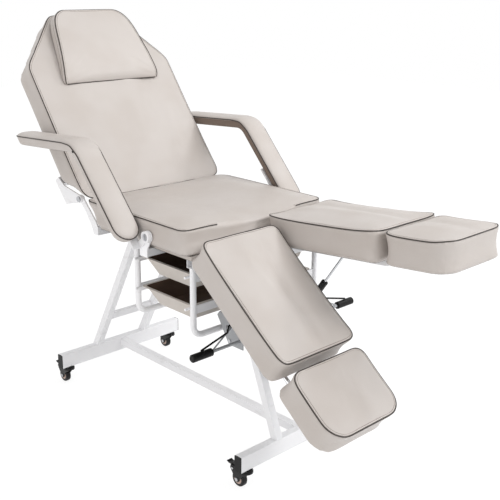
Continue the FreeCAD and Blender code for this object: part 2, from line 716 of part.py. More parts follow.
def on_back(x, up, out):
    """A point given by its x, its way up the back and its height over the back's face."""
    return BACK_ORIGIN + BACK_UP * up + BACK_OUT * out + V(x, 0, 0)


def back_slab(low_x, high_x, low_up, high_up, low_out, high_out):
    """A block that lies along the back."""
    slab = Part.makeBox(high_x - low_x, high_up - low_up, high_out - low_out,
                        V(low_x, low_up, low_out))
    return placed(slab, BACK_ORIGIN, X_AXIS, BACK_UP)


def back_cushion():
    """The back's pad, with shoulders, rounded corners and a lower end that slopes back."""
    def corners_at(height):
        share = min(height / BACK_THICKNESS, 1)
        foot = -BACK_FOOT + BACK_FOOT_RISE * (1 - share)
        return mirrored_corners([(BACK_HALF_WIDTH, foot, BACK_FOOT_RADIUS),
                                 (BACK_HALF_WIDTH, BACK_SHOULDER, BACK_SHOULDER_RADIUS),
                                 (BACK_TOP_HALF_WIDTH, BACK_TOP, BACK_TOP_RADIUS)])

    pad = cushion(corners_at, BACK_THICKNESS, CROWN)
    return placed(pad, on_back(0, 0, -BACK_THICKNESS), X_AXIS, BACK_UP)


def back_board():
    """The board behind the back's pad, with the pad's outline drawn in."""
    foot = BACK_FOOT_RISE - BACK_FOOT
    corners = mirrored_corners([(BACK_HALF_WIDTH, foot, BACK_FOOT_RADIUS),
                                (BACK_HALF_WIDTH, BACK_SHOULDER, BACK_SHOULDER_RADIUS),
                                (BACK_TOP_HALF_WIDTH, BACK_TOP, BACK_TOP_RADIUS)])
    face = Part.Face(outline(corners, BOARD_INSET, 0))
    return placed(face.extrude(V(0, 0, BOARD_THICKNESS)),
                  on_back(0, 0, -BACK_THICKNESS - BOARD_THICKNESS), X_AXIS, BACK_UP)


def back_frame():
    """Square tubes behind the board, with a hinge plate at each end of the lowest one."""
    out_high = -BACK_THICKNESS - BOARD_THICKNESS
    out_low = out_high - BACK_TUBE
    foot = BACK_RAIL_FOOT
    half = BACK_TUBE / 2
    wall = RAIL_WALL
    tubes = []
    for reach, low_up in ((HINGE_PLATE_X, foot), (BACK_RAIL_X + half, BACK_RAIL_TOP)):
        tube = back_slab(-reach, reach, low_up, low_up + BACK_TUBE, out_low, out_high)
        tubes.append(tube.cut(back_slab(-reach, reach, low_up + wall, low_up + BACK_TUBE - wall,
                                        out_low + wall, out_high - wall)))
    for x in (-BACK_RAIL_X, BACK_RAIL_X):
        tube = back_slab(x - half, x + half, foot + BACK_TUBE, BACK_RAIL_TOP, out_low, out_high)
        tubes.append(tube.cut(back_slab(x - half + wall, x + half - wall, foot + BACK_TUBE,
                                        BACK_RAIL_TOP, out_low + wall, out_high - wall)))
    hinge = V(0, BACK_HINGE_Y, BACK_HINGE_Z)
    hinge_up = (hinge - BACK_ORIGIN).dot(BACK_UP)
    hinge_out = (hinge - BACK_ORIGIN).dot(BACK_OUT)
    end_way = V(0, BACK_FOOT_RISE, -BACK_THICKNESS).normalize()
    end_up, end_out = end_way.y, end_way.z
    eye = HINGE_EYE_RADIUS
    reach = BACK_THICKNESS / 2
    for side in (-1, 1):
        low_x, high_x = span(side, HINGE_PLATE_X, HINGE_PLATE_X + HINGE_PLATE)
        places = [
            (hinge_up - eye * end_out, hinge_out + eye * end_up),
            (foot - BACK_END_GAP - eye, out_high - BACK_END_GAP + eye),
            (foot + BACK_TUBE, out_high - BACK_END_GAP),
            (foot + BACK_TUBE, out_low),
            (foot, out_low),
            (hinge_up + reach / 2, out_low + eye / 2),
            (hinge_up + eye * end_out, hinge_out - eye * end_up),
        ]
        corners = [on_back(low_x, up, out) for up, out in places]
        plate = Part.Face(Part.makePolygon(corners + corners[:1])).extrude(V(high_x - low_x, 0, 0))
        plate = plate.fuse(rod(eye, V(low_x, hinge.y, hinge.z), V(high_x, hinge.y, hinge.z)))
        hole = rod(HINGE_BOLT_RADIUS + RUNNING_FIT, V(low_x - OVERRUN, hinge.y, hinge.z),
                   V(high_x + OVERRUN, hinge.y, hinge.z))
        tubes.append(plate.cut(hole))
    return Part.makeCompound(tubes)


def headrest_pillow():
    """A wedge-shaped pillow that narrows towards the top and is thickest below it."""
    base = CROWN + SOFT_GAP
    wires = []
    for along, high, tuck in zip(PILLOW_STATION_SHARES, PILLOW_HEIGHT_SHARES, PILLOW_TUCK_SHARES):
        half = PILLOW_FOOT_HALF_WIDTH + (PILLOW_TOP_HALF_WIDTH - PILLOW_FOOT_HALF_WIDTH) * along
        half = half - PILLOW_TOP_HALF_WIDTH * tuck
        top = PILLOW_THICKNESS * high
        round_top = top * PILLOW_ROUND_SHARE
        round_foot = round_top / 2
        corners = [(-half, base, round_foot), (half, base, round_foot),
                   (half, base + top, round_top), (-half, base + top, round_top)]
        up = PILLOW_FOOT + (PILLOW_TOP - PILLOW_FOOT) * along
        wires.append(outline(corners, 0, -up))
    pillow = Part.makeLoft(wires[::-1], True, True)
    return placed(pillow, BACK_ORIGIN, X_AXIS, BACK_OUT)


# The arms: each a bent pad on a board, carried by a strap that turns on a pin

ARM_TIP = V(ARM_TIP_Y, ARM_TIP_Z, 0)
ARM_BEND = V(ARM_BEND_Y, ARM_BEND_Z, 0)
ARM_END = V(ARM_END_Y, ARM_END_Z, 0)
ARM_TOP_WAY = (ARM_BEND - ARM_TIP).normalize()
ARM_SLOPE_WAY = (ARM_END - ARM_BEND).normalize()


def arm_normal(way):
    """The outward side of one stretch of the arm, in its side view."""
    return V(way.y, -way.x, 0)


def arm_line(rise, inset):
    """Tip, bend arc and end of a line that runs at a height over the arm's piping line."""
    top_side = arm_normal(ARM_TOP_WAY)
    slope_side = arm_normal(ARM_SLOPE_WAY)
    shift = (top_side + slope_side) * (rise / (1 + top_side.dot(slope_side)))
    bend = ARM_BEND + shift
    half_turn = ARM_TOP_WAY.getAngle(ARM_SLOPE_WAY) / 2
    radius = ARM_BEND_RADIUS + rise
    tangent = radius * math.tan(half_turn)
    to_centre = (ARM_SLOPE_WAY - ARM_TOP_WAY).normalize()
    middle = bend + to_centre * (radius / math.cos(half_turn) - radius)
    tip = ARM_TIP + top_side * rise + ARM_TOP_WAY * inset
    end = ARM_END + slope_side * rise - ARM_SLOPE_WAY * inset
    return [tip, bend - ARM_TOP_WAY * tangent, middle, bend + ARM_SLOPE_WAY * tangent, end]


def arm_section(x, low, high, inset):
    """The arm's side outline between two heights, as a wire at one x."""
    upper = [V(x, point.x, point.y) for point in arm_line(high, inset)]
    lower = [V(x, point.x, point.y) for point in arm_line(low, inset)]
    edges = [Part.LineSegment(upper[0], upper[1]), Part.Arc(upper[1], upper[2], upper[3]),
             Part.LineSegment(upper[3], upper[4]), Part.LineSegment(upper[4], lower[4]),
             Part.LineSegment(lower[4], lower[3]), Part.Arc(lower[3], lower[2], lower[1]),
             Part.LineSegment(lower[1], lower[0]), Part.LineSegment(lower[0], upper[0])]
    return Part.Wire([edge.toShape() for edge in edges])


def arm_shape(side, half_width, low, high_at):
    """A part of an arm with round ends; high_at gives its top's height across its width."""
    wires = []
    for share in ARM_STATION_SHARES:
        across = half_width * share
        inset = ARM_WIDTH / 2 - math.sqrt(half_width * half_width - across * across)
        x = side * (ARM_INNER_X + ARM_WIDTH / 2 + across)
        wires.append(arm_section(x, low, high_at(share), inset))
    return Part.makeLoft(wires, True, True)


def arm_pad(side):
    """The padded upper part of an arm, crowned across its width."""
    return arm_shape(side, ARM_WIDTH / 2, ARM_BOARD - ARM_BAND,
                     lambda share: ARM_CROWN - (ARM_CROWN + ARM_EDGE_DROP) * share * share * abs(share))


def arm_board(side):
    """The board under an arm's pad."""
    return arm_shape(side, ARM_WIDTH / 2 - ARM_BOARD_INSET, -ARM_BAND,
                     lambda share: ARM_BOARD - ARM_BAND)


def along_arm(x, distance, rise):
    """A point of the arm's slope, by its distance from the pivot and its height."""
    slope_side = arm_normal(ARM_SLOPE_WAY)
    pivot = V(ARM_PIVOT_Y, ARM_PIVOT_Z, 0)
    foot = ARM_END + ARM_SLOPE_WAY * (pivot - ARM_END).dot(ARM_SLOPE_WAY)
    point = foot - ARM_SLOPE_WAY * distance + slope_side * rise
    return V(x, point.x, point.y)


def slab_along_arm(low_x, high_x, start, end, low, high):
    """A flat bar that runs along the arm's slope."""
    corners = [along_arm(low_x, start, low), along_arm(low_x, end, low),
               along_arm(low_x, end, high), along_arm(low_x, start, high)]
    face = Part.Face(Part.makePolygon(corners + corners[:1]))
    return face.extrude(V(high_x - low_x, 0, 0))


def arm_bracket(side):
    """The steel strap under an arm, with a web up to the ring that turns on the arm's pin."""
    underside = -ARM_BAND - ARM_STRAP
    low_x, high_x = span(side, ARM_INNER_X, ARM_INNER_X + ARM_STRAP_WIDTH)
    strap = slab_along_arm(low_x, high_x, -ARM_WEB_HALF_WIDTH, ARM_STRAP_LENGTH,
                           underside, -ARM_BAND)
    ring_inner = ARM_RAIL_HALF_LENGTH + ARM_PLATE + ARM_WEB_GAP
    low_x, high_x = span(side, ring_inner, ring_inner + ARM_STRAP)
    web = slab_along_arm(low_x, high_x, -ARM_WEB_HALF_WIDTH, ARM_WEB_HALF_WIDTH,
                         underside, arm_pivot_rise())
    low_x, high_x = span(side, ring_inner, ring_inner + ARM_RING_LENGTH)
    ring = rod(ARM_RING_RADIUS, V(low_x, ARM_PIVOT_Y, ARM_PIVOT_Z),
               V(high_x, ARM_PIVOT_Y, ARM_PIVOT_Z))
    bore = rod(ARM_BORE_RADIUS, V(low_x - OVERRUN, ARM_PIVOT_Y, ARM_PIVOT_Z),
               V(high_x + OVERRUN, ARM_PIVOT_Y, ARM_PIVOT_Z))
    return strap.fuse([web, ring]).cut(bore).removeSplitter()


def arm_pivot_rise():
    """The height of the arm's pivot over the arm's piping line."""
    return V(ARM_PIVOT_Y - ARM_END_Y, ARM_PIVOT_Z - ARM_END_Z, 0).dot(arm_normal(ARM_SLOPE_WAY))


def arm_pivots():
    """The plates beside the seat, with the pins that the arms turn on."""
    pieces = []
    half = ARM_PLATE_HALF_WIDTH
    for side in (-1, 1):
        inner = ARM_RAIL_HALF_LENGTH
        outer = inner + ARM_PLATE
        low_x, high_x = span(side, inner, outer)
        plate = prism_x([(ARM_RAIL_Y - half, RAIL_BOTTOM_Z), (ARM_RAIL_Y + half, RAIL_BOTTOM_Z),
                         (ARM_RAIL_Y + half, BOARD_BOTTOM_Z), (ARM_PIVOT_Y + half, ARM_PIVOT_Z),
                         (ARM_PIVOT_Y - half, ARM_PIVOT_Z), (ARM_RAIL_Y - half, BOARD_BOTTOM_Z)],
                        low_x, high_x)
        top = rod(half, V(low_x, ARM_PIVOT_Y, ARM_PIVOT_Z), V(high_x, ARM_PIVOT_Y, ARM_PIVOT_Z))
        pin = rod(ARM_BORE_RADIUS - RUNNING_FIT, V(side * outer, ARM_PIVOT_Y, ARM_PIVOT_Z),
                  V(side * (outer + ARM_PIN_LENGTH), ARM_PIVOT_Y, ARM_PIVOT_Z))
        pieces.append(plate.fuse([top, pin]).removeSplitter())
    return Part.makeCompound(pieces)


# The leg rests, drawn flat on a frame whose v runs back from the knee pin and w points up

KNEE = V(0, KNEE_Y, KNEE_Z)
REST_DEG = {"right": LOWERED_DEG, "left": RAISED_DEG}
FOOT_OUT = {"right": RIGHT_FOOT_DRAWN_OUT, "left": 0}


def leg_ways(side_name):
    """The way out along a leg rest and the way up from it, in the rest pose."""
    tilt = math.radians(REST_DEG[side_name])
    return V(0, -math.cos(tilt), math.sin(tilt)), V(0, math.sin(tilt), math.cos(tilt))


def on_leg(side_name, x, out, up):
    """A point of a leg rest, by its x from the leg's middle and its way out and up."""
    out_way, up_way = leg_ways(side_name)
    middle = SIDES[side_name] * LEG_REST_X
    return KNEE + V(middle + x, 0, 0) + out_way * out + up_way * up


def leg_block(side_name, low_x, high_x, start, end, low, high):
    """A block along a leg rest."""
    out_way, up_way = leg_ways(side_name)
    shape = Part.makeBox(high_x - low_x, end - start, high - low, V(low_x, -end, low))
    return placed(shape, on_leg(side_name, 0, 0, 0), X_AXIS, out_way * -1)


def leg_cushion(side_name, corners, start):
    """A pad of a leg rest, from its outline and where it starts along the leg."""
    out_way, up_way = leg_ways(side_name)
    pad = cushion(lambda height: corners, PAD_THICKNESS, CROWN)
    return placed(pad, on_leg(side_name, 0, start, PAD_UNDERSIDE), X_AXIS, out_way * -1)


def calf_pad(side_name):
    """The calf pad, with a pocket below for the hinge."""
    corners = mirrored_corners([(CALF_HALF_WIDTH, -CALF_LENGTH, CALF_RADIUS),
                                (CALF_HALF_WIDTH, 0, CALF_RADIUS)])
    pad = leg_cushion(side_name, corners, CALF_START)
    pocket = leg_block(side_name, -KNEE_POCKET_HALF_WIDTH, KNEE_POCKET_HALF_WIDTH,
                       CALF_START - OVERRUN, KNEE_POCKET, PAD_UNDERSIDE - OVERRUN, KNEE_POCKET)
    return pad.cut(pocket)


def foot_start(side_name):
    """Where a foot pad starts along its leg, in the rest pose."""
    return CALF_START + CALF_LENGTH + FOOT_GAP + FOOT_OUT[side_name]


def foot_pad(side_name):
    """The foot pad, rounder at the toes."""
    corners = mirrored_corners([
        (FOOT_HALF_WIDTH, -FOOT_LENGTH, FOOT_TOE_RADIUS),
        (FOOT_HALF_WIDTH, 0, FOOT_HEEL_RADIUS)])
    return leg_cushion(side_name, corners, foot_start(side_name))


def calf_frame(side_name):
    """Square tubes with end guides, bridges, knuckles and cheeks, under the calf pad."""
    half = CALF_RAIL / 2
    low = PAD_UNDERSIDE - CALF_RAIL
    pieces = []
    for offset in (-CALF_RAIL_OFFSET, CALF_RAIL_OFFSET):
        tube = leg_block(side_name, offset - half, offset + half, CALF_RAIL_START, CALF_RAIL_END,
                         low, PAD_UNDERSIDE)
        core = half - CALF_RAIL_WALL
        bore = leg_block(side_name, offset - core, offset + core, CALF_RAIL_START - OVERRUN,
                         CALF_RAIL_END + OVERRUN, low + CALF_RAIL_WALL,
                         PAD_UNDERSIDE - CALF_RAIL_WALL)
        bush = leg_block(side_name, offset - core, offset + core, CALF_RAIL_END - SLIDE_BUSH,
                         CALF_RAIL_END, low + CALF_RAIL_WALL, PAD_UNDERSIDE - CALF_RAIL_WALL)
        hole = rod(SLIDE_ROD_RADIUS + RUNNING_FIT,
                   on_leg(side_name, offset, CALF_RAIL_END - SLIDE_BUSH - OVERRUN, low + half),
                   on_leg(side_name, offset, CALF_RAIL_END + OVERRUN, low + half))
        pieces.append(tube.cut(bore).fuse(bush.cut(hole)).removeSplitter())
        knuckle = rod(KNUCKLE_RADIUS, on_leg(side_name, offset - half, 0, 0),
                      on_leg(side_name, offset - half + KNUCKLE_LENGTH, 0, 0))
        web = leg_block(side_name, offset - half, offset + half, CALF_RAIL_START,
                        KNUCKLE_RADIUS, PAD_UNDERSIDE, 0)
        hole = rod(KNEE_PIN_RADIUS + RUNNING_FIT, on_leg(side_name, offset - CALF_RAIL, 0, 0),
                   on_leg(side_name, offset + CALF_RAIL, 0, 0))
        pieces.append(knuckle.fuse(web).cut(hole).removeSplitter())
    inner = CALF_RAIL_OFFSET - half
    for at in (CALF_BRIDGE_AT, CALF_END_BRIDGE_AT):
        pieces.append(leg_block(side_name, -inner, inner, at, at + CALF_BRIDGE,
                                low, PAD_UNDERSIDE))
    spring_x = SIDES[side_name] * (SPRING_X - LEG_REST_X)
    high = PAD_UNDERSIDE
    for side in (-1, 1):
        low_x, high_x = sorted((spring_x + side * CHEEK_GAP, spring_x + side * (CHEEK_GAP + CHEEK)))
        pieces.append(leg_block(side_name, low_x, high_x, CALF_BRIDGE_AT - CHEEK_LENGTH,
                                CALF_BRIDGE_AT, high - CALF_RAIL - CHEEK, high))
        out = on_leg(side_name, spring_x, SPRING_HEAD_REACH, -SPRING_HEAD_DROP)
        far = CHEEK_GAP + CHEEK
        pieces.append(rod(SPRING_PIN_RADIUS + CHEEK, out + V(side * far, 0, 0),
                          out + V(side * (far + CHEEK), 0, 0)))
    return Part.makeCompound(pieces)


def foot_slide(side_name):
    """Two round rods that run in the calf tubes, with the plates that carry the foot pad."""
    pad_start = foot_start(side_name)
    rod_start = CALF_RAIL_END - SLIDE_ROD_ENGAGED + FOOT_OUT[side_name]
    middle_up = PAD_UNDERSIDE - CALF_RAIL / 2
    rod_top = middle_up + SLIDE_ROD_RADIUS
    pieces = []
    for offset in (-CALF_RAIL_OFFSET, CALF_RAIL_OFFSET):
        pieces.append(rod(SLIDE_ROD_RADIUS, on_leg(side_name, offset, rod_start, middle_up),
                          on_leg(side_name, offset, rod_start + SLIDE_ROD_LENGTH, middle_up)))
    for at in (pad_start + FOOT_PLATE_EDGE,
               pad_start + FOOT_LENGTH - FOOT_PLATE_EDGE * 3 - FOOT_PLATE_WIDTH):
        pieces.append(leg_block(side_name, -FOOT_PLATE_HALF_LENGTH, FOOT_PLATE_HALF_LENGTH,
                                at, at + FOOT_PLATE_WIDTH, rod_top, PAD_UNDERSIDE))
    return Part.makeCompound(pieces)


# The leg gas springs, from a bracket on each front leg to the cheeks under the calf

def spring_ends(side_name):
    """The foot and head of a gas spring in the rest pose, and the way between them."""
    foot = V(SIDES[side_name] * SPRING_X, SPRING_FOOT_Y, SPRING_FOOT_Z)
    spring_x = SIDES[side_name] * (SPRING_X - LEG_REST_X)
    head = on_leg(side_name, spring_x, SPRING_HEAD_REACH, -SPRING_HEAD_DROP)
    return foot, head, (head - foot).normalize()


def gas_cylinder(side_name):
    """The spring's case, with an eye at its foot and a bore for its rod."""
    foot, head, way = spring_ends(side_name)
    across = V(SPRING_EYE_HALF_WIDTH, 0, 0)
    case = rod(SPRING_RADIUS, foot + way * SPRING_EYE_RADIUS, foot + way * SPRING_CASE_LENGTH)
    stub = rod(SPRING_EYE_HALF_WIDTH, foot, foot + way * SPRING_EYE_RADIUS)
    floor = SPRING_EYE_RADIUS + SPRING_END_WALL / 2
    bore = rod(SPRING_BORE_RADIUS, foot + way * floor,
               foot + way * (SPRING_CASE_LENGTH - SPRING_END_WALL))
    neck = rod(SPRING_ROD_RADIUS + RUNNING_FIT, foot + way * floor,
               foot + way * (SPRING_CASE_LENGTH + OVERRUN))
    eye = rod(SPRING_EYE_RADIUS, foot - across, foot + across)
    hole = rod(SPRING_PIN_RADIUS + RUNNING_FIT, foot - across * 2, foot + across * 2)
    return case.fuse([stub, eye]).cut(Part.makeCompound([bore.fuse(neck), hole]))


def gas_rod(side_name):
    """The spring's rod, with the eye and its pin between the calf's cheeks."""
    foot, head, way = spring_ends(side_name)
    across = V(SPRING_EYE_HALF_WIDTH, 0, 0)
    shaft = rod(SPRING_ROD_RADIUS, head - way * SPRING_ROD_LENGTH, head)
    eye = rod(SPRING_EYE_RADIUS, head - across, head + across)
    reach = V(SPRING_HEAD_PIN_HALF_LENGTH, 0, 0)
    pin = rod(SPRING_PIN_RADIUS, head - reach, head + reach)
    return shaft.fuse([eye, pin])


def lever_bracket(side):
    """A sheet-metal channel on the front leg: cheeks, web, lever ear, handle rod and stay."""
    leg_face = FRONT_LEG_X + LEG_TUBE / 2
    sheet = BRACKET_SHEET
    side_line = [(BRACKET_FRONT_Y, BRACKET_FOOT_Z), (BRACKET_FOOT_REAR_Y, BRACKET_FOOT_Z),
                 (BRACKET_REAR_Y, BRACKET_REAR_Z), (BRACKET_REAR_Y - sheet * 3, BRACKET_TOP_Z),
                 (BRACKET_TOP_FRONT_Y, BRACKET_TOP_Z), (BRACKET_FRONT_Y, BRACKET_FRONT_Z)]
    low_x, high_x = span(side, leg_face, leg_face + sheet)
    inner_cheek = prism_x(side_line, low_x, high_x)
    low_x, high_x = span(side, BRACKET_OUTER_X - sheet, BRACKET_OUTER_X)
    outer_cheek = prism_x(side_line, low_x, high_x)
    low_x, high_x = span(side, leg_face + sheet, BRACKET_OUTER_X - sheet)
    web = block(V(low_x, BRACKET_TOP_FRONT_Y, BRACKET_TOP_Z - sheet),
                V(high_x, BRACKET_REAR_Y - sheet * 3, BRACKET_TOP_Z))
    low_x, high_x = span(side, BRACKET_OUTER_X, BRACKET_OUTER_X + EAR_WIDTH)
    ear = block(V(low_x, EAR_REAR_Y - EAR_SHEET, LEVER_PIVOT_Z - EAR_HALF_HEIGHT),
                V(high_x, EAR_REAR_Y, LEVER_PIVOT_Z + EAR_HALF_HEIGHT))
    handle = rod(HANDLE_ROD_RADIUS, V(side * (leg_face + sheet), HANDLE_Y, HANDLE_Z),
                 V(side * (GRIP_END_X - GRIP_END_WALL), HANDLE_Y, HANDLE_Z))
    stay_y = EAR_REAR_Y - EAR_SHEET - STAY_RADIUS / 2
    stay = rod(STAY_RADIUS, V(side * STAY_START_X, stay_y, STAY_START_Z),
               V(side * (GRIP_START_X - HANDLE_ROD_RADIUS), HANDLE_Y,
                 HANDLE_Z + HANDLE_ROD_RADIUS))
    low_x, high_x = span(side, BRACKET_OUTER_X - sheet * 2, BRACKET_OUTER_X + sheet)
    slot = prism_x([(SLOT_Y - SLOT_RADIUS, SLOT_LOW_Z), (SLOT_Y + SLOT_RADIUS, SLOT_LOW_Z),
                    (SLOT_Y + SLOT_RADIUS, SLOT_HIGH_Z), (SLOT_Y - SLOT_RADIUS, SLOT_HIGH_Z)],
                   low_x, high_x)
    for z in (SLOT_LOW_Z, SLOT_HIGH_Z):
        slot = slot.fuse(rod(SLOT_RADIUS, V(low_x, SLOT_Y, z), V(high_x, SLOT_Y, z)))
    pin_hole = rod(SPRING_PIN_RADIUS, V(side * leg_face, SPRING_FOOT_Y, SPRING_FOOT_Z),
                   V(side * (BRACKET_OUTER_X + sheet), SPRING_FOOT_Y, SPRING_FOOT_Z))
    lever_hole = rod(LEVER_PIN_RADIUS,
                     V(side * LEVER_PIVOT_X, EAR_REAR_Y - EAR_SHEET * 2, LEVER_PIVOT_Z),
                     V(side * LEVER_PIVOT_X, EAR_REAR_Y + EAR_SHEET, LEVER_PIVOT_Z))
    return [inner_cheek.cut(pin_hole), outer_cheek.cut(Part.makeCompound([slot, pin_hole, handle])),
            web, ear.cut(lever_hole), handle, stay.cut(ear).cut(handle)]


def bracket_pins():
    """The gas springs' lower pins and the release levers' pins, with their heads."""
    sheet = BRACKET_SHEET
    pieces = []
    for side in (-1, 1):
        leg_face = FRONT_LEG_X + LEG_TUBE / 2
        outer = V(side * BRACKET_OUTER_X, SPRING_FOOT_Y, SPRING_FOOT_Z)
        pin = rod(SPRING_PIN_RADIUS, V(side * leg_face, SPRING_FOOT_Y, SPRING_FOOT_Z), outer)
        head = rod(SPRING_PIN_RADIUS * 2, outer, outer + V(side * sheet, 0, 0))
        pieces.append(pin.fuse(head))
        front = EAR_REAR_Y - EAR_SHEET - LEVER_RADIUS * 2 - SWIVEL_GAP * 2
        rear = V(side * LEVER_PIVOT_X, EAR_REAR_Y, LEVER_PIVOT_Z)
        front_end = V(side * LEVER_PIVOT_X, front, LEVER_PIVOT_Z)
        lever_pin = rod(LEVER_PIN_RADIUS, front_end, rear)
        lever_head = rod(LEVER_PIN_RADIUS * 2, front_end - V(0, LEVER_PIN_RADIUS, 0), front_end)
        pieces.append(lever_pin.fuse(lever_head))
    return Part.makeCompound(pieces)


def handle_grips():
    """The black grips on the ends of the two handle rods."""
    grips = []
    for side in (-1, 1):
        outer = rod(GRIP_RADIUS, V(side * GRIP_START_X, HANDLE_Y, HANDLE_Z),
                    V(side * GRIP_END_X, HANDLE_Y, HANDLE_Z))
        ends = [edge for edge in outer.Edges if edge.Closed]
        outer = outer.makeChamfer(GRIP_RADIUS / 4, ends)
        grips.append(outer.cut(rod(HANDLE_ROD_RADIUS,
                                   V(side * (GRIP_START_X - OVERRUN), HANDLE_Y, HANDLE_Z),
                                   V(side * (GRIP_END_X - GRIP_END_WALL), HANDLE_Y, HANDLE_Z))))
    return Part.makeCompound(grips)


def release_lever(side_name):
    """A thin bent lever that turns on the bracket's ear and rests on the grip."""
    side = SIDES[side_name]
    rear = EAR_REAR_Y - EAR_SHEET - SWIVEL_GAP
    middle = rear - LEVER_RADIUS
    front = middle - LEVER_RADIUS
    hub = rod(LEVER_HUB_RADIUS, V(side * LEVER_PIVOT_X, front, LEVER_PIVOT_Z),
              V(side * LEVER_PIVOT_X, rear, LEVER_PIVOT_Z))
    tip_z = HANDLE_Z + GRIP_RADIUS + LEVER_RADIUS + LEVER_REST_GAP
    line = [V(side * (LEVER_PIVOT_X + LEVER_HUB_RADIUS / 2), middle, LEVER_PIVOT_Z),
            V(side * LEVER_BEND_X, middle, LEVER_PIVOT_Z - LEVER_RADIUS),
            V(side * LEVER_ELBOW_X, HANDLE_Y, LEVER_ELBOW_Z),
            V(side * LEVER_TIP_X, HANDLE_Y, tip_z)]
    pieces = [rod(LEVER_RADIUS, line[i], line[i + 1]) for i in range(len(line) - 1)]
    pieces += [Part.makeSphere(LEVER_RADIUS, point) for point in line[1:]]
    hole = rod(LEVER_PIN_RADIUS + RUNNING_FIT,
               V(side * LEVER_PIVOT_X, front - OVERRUN, LEVER_PIVOT_Z),
               V(side * LEVER_PIVOT_X, rear + OVERRUN, LEVER_PIVOT_Z))
    return hub.fuse(pieces).cut(hole)


# The casters: raceway and stem on the beam, a swivelling fork, a wheel and a brake pedal

RACEWAY_Z = CASTER_HEIGHT - RACEWAY_HEIGHT
FORK_TOP_Z = RACEWAY_Z - SWIVEL_GAP
FORK_TOP_LOW_Z = FORK_TOP_Z - FORK_TOP


def caster_stems():
    """Raceway caps below the beams, with the stems that run up into them."""
    pieces = []
    for x, y in CASTER_PLACES.values():
        cap = Part.makeCone(FORK_TOP_RADIUS, FORK_TOP_RADIUS - RACEWAY_HEIGHT / 2,
                            RACEWAY_HEIGHT, V(x, y, RACEWAY_Z))
        king_pin = rod(KING_PIN_RADIUS, V(x, y, FORK_TOP_LOW_Z), V(x, y, RACEWAY_Z))
        stem = rod(STEM_RADIUS, V(x, y, CASTER_HEIGHT), V(x, y, CASTER_HEIGHT + STEM_LENGTH))
        nut = rod(STEM_NUT_RADIUS, V(x, y, CASTER_HEIGHT + BEAM_WALL),
                  V(x, y, CASTER_HEIGHT + BEAM_WALL + STEM_NUT))
        pieces.append(cap.fuse([king_pin, stem, nut]).removeSplitter())
    return Part.makeCompound(pieces)


def caster_fork(x, y):
    """The fork: a round top, two side plates, the axle bolt and rivet heads."""
    axle_y = y + TRAIL
    axle_z = WHEEL_RADIUS
    top = rod(FORK_TOP_RADIUS, V(x, y, FORK_TOP_LOW_Z), V(x, y, FORK_TOP_Z))
    top = top.cut(rod(KING_PIN_RADIUS + RUNNING_FIT, V(x, y, FORK_TOP_LOW_Z - OVERRUN),
                      V(x, y, FORK_TOP_Z + OVERRUN)))
    inner = WHEEL_WIDTH / 2 + FORK_GAP
    outer = inner + FORK_SHEET
    foot = FORK_FOOT_RADIUS
    under_top = FORK_TOP_LOW_Z - axle_z
    line = [(-FORK_NOSE - TRAIL, under_top), (-FORK_NOSE - TRAIL, under_top - FORK_NOSE_DROP / 3),
            (-FORK_NOSE - FORK_NOSE_DROP, under_top - FORK_NOSE_DROP),
            (-foot, 0), (foot, 0), (FORK_TAIL, FORK_TAIL_Z),
            (FORK_EAR_REAR, FORK_EAR_Z), (FORK_EAR_FRONT, FORK_EAR_Z),
            (FORK_EAR_FRONT - FORK_SHEET, under_top)]
    points = [(axle_y + along, axle_z + up) for along, up in line]
    pieces = []
    for side in (-1, 1):
        low_x, high_x = sorted((x + side * inner, x + side * outer))
        pieces.append(prism_x(points, low_x, high_x))
        pieces.append(rod(foot, V(low_x, axle_y, axle_z), V(high_x, axle_y, axle_z)))
        for radius, height, along, up in (
                (AXLE_HEAD_RADIUS, AXLE_HEAD, 0, 0),
                (RIVET_RADIUS, RIVET_HEAD, PEDAL_PIVOT_Y, PEDAL_PIVOT_Z),
                (RIVET_RADIUS, RIVET_HEAD, FORK_RIVET_Y, FORK_RIVET_Z)):
            start = V(x + side * outer, axle_y + along, axle_z + up)
            pieces.append(rod(radius, start, start + V(side * height, 0, 0)))
    pieces.append(rod(AXLE_RADIUS, V(x - inner, axle_y, axle_z), V(x + inner, axle_y, axle_z)))
    pin = V(x - inner, axle_y + PEDAL_PIVOT_Y, axle_z + PEDAL_PIVOT_Z)
    pieces.append(rod(PEDAL_PIN_RADIUS, pin, pin + V(inner * 2, 0, 0)))
    return top.fuse(pieces).removeSplitter()


def caster_wheel(x, y):
    """A tyre with rounded shoulders round a hub ring, bored for the axle."""
    half = WHEEL_WIDTH / 2
    centre = V(x, y + TRAIL, WHEEL_RADIUS)
    low = centre - V(half, 0, 0)
    high = centre + V(half, 0, 0)
    right_rim = []
    for across, down in WHEEL_SHOULDER_SHARES:
        right_rim.append(V(half - WHEEL_SHOULDER * across, WHEEL_RADIUS - WHEEL_SHOULDER * down, 0))
    left_rim = [V(-point.x, point.y, 0) for point in reversed(right_rim)]
    corners = [V(-half, HUB_RADIUS, 0), V(half, HUB_RADIUS, 0)] + right_rim + left_rim
    tyre = Part.Face(Part.makePolygon(corners + corners[:1])).revolve(V(0, 0, 0), X_AXIS, FULL_TURN_DEG)
    tyre.translate(centre)
    hub = rod(HUB_RADIUS, low, high).cut(rod(AXLE_RADIUS + RUNNING_FIT, low, high))
    return Part.makeCompound([tyre, hub])


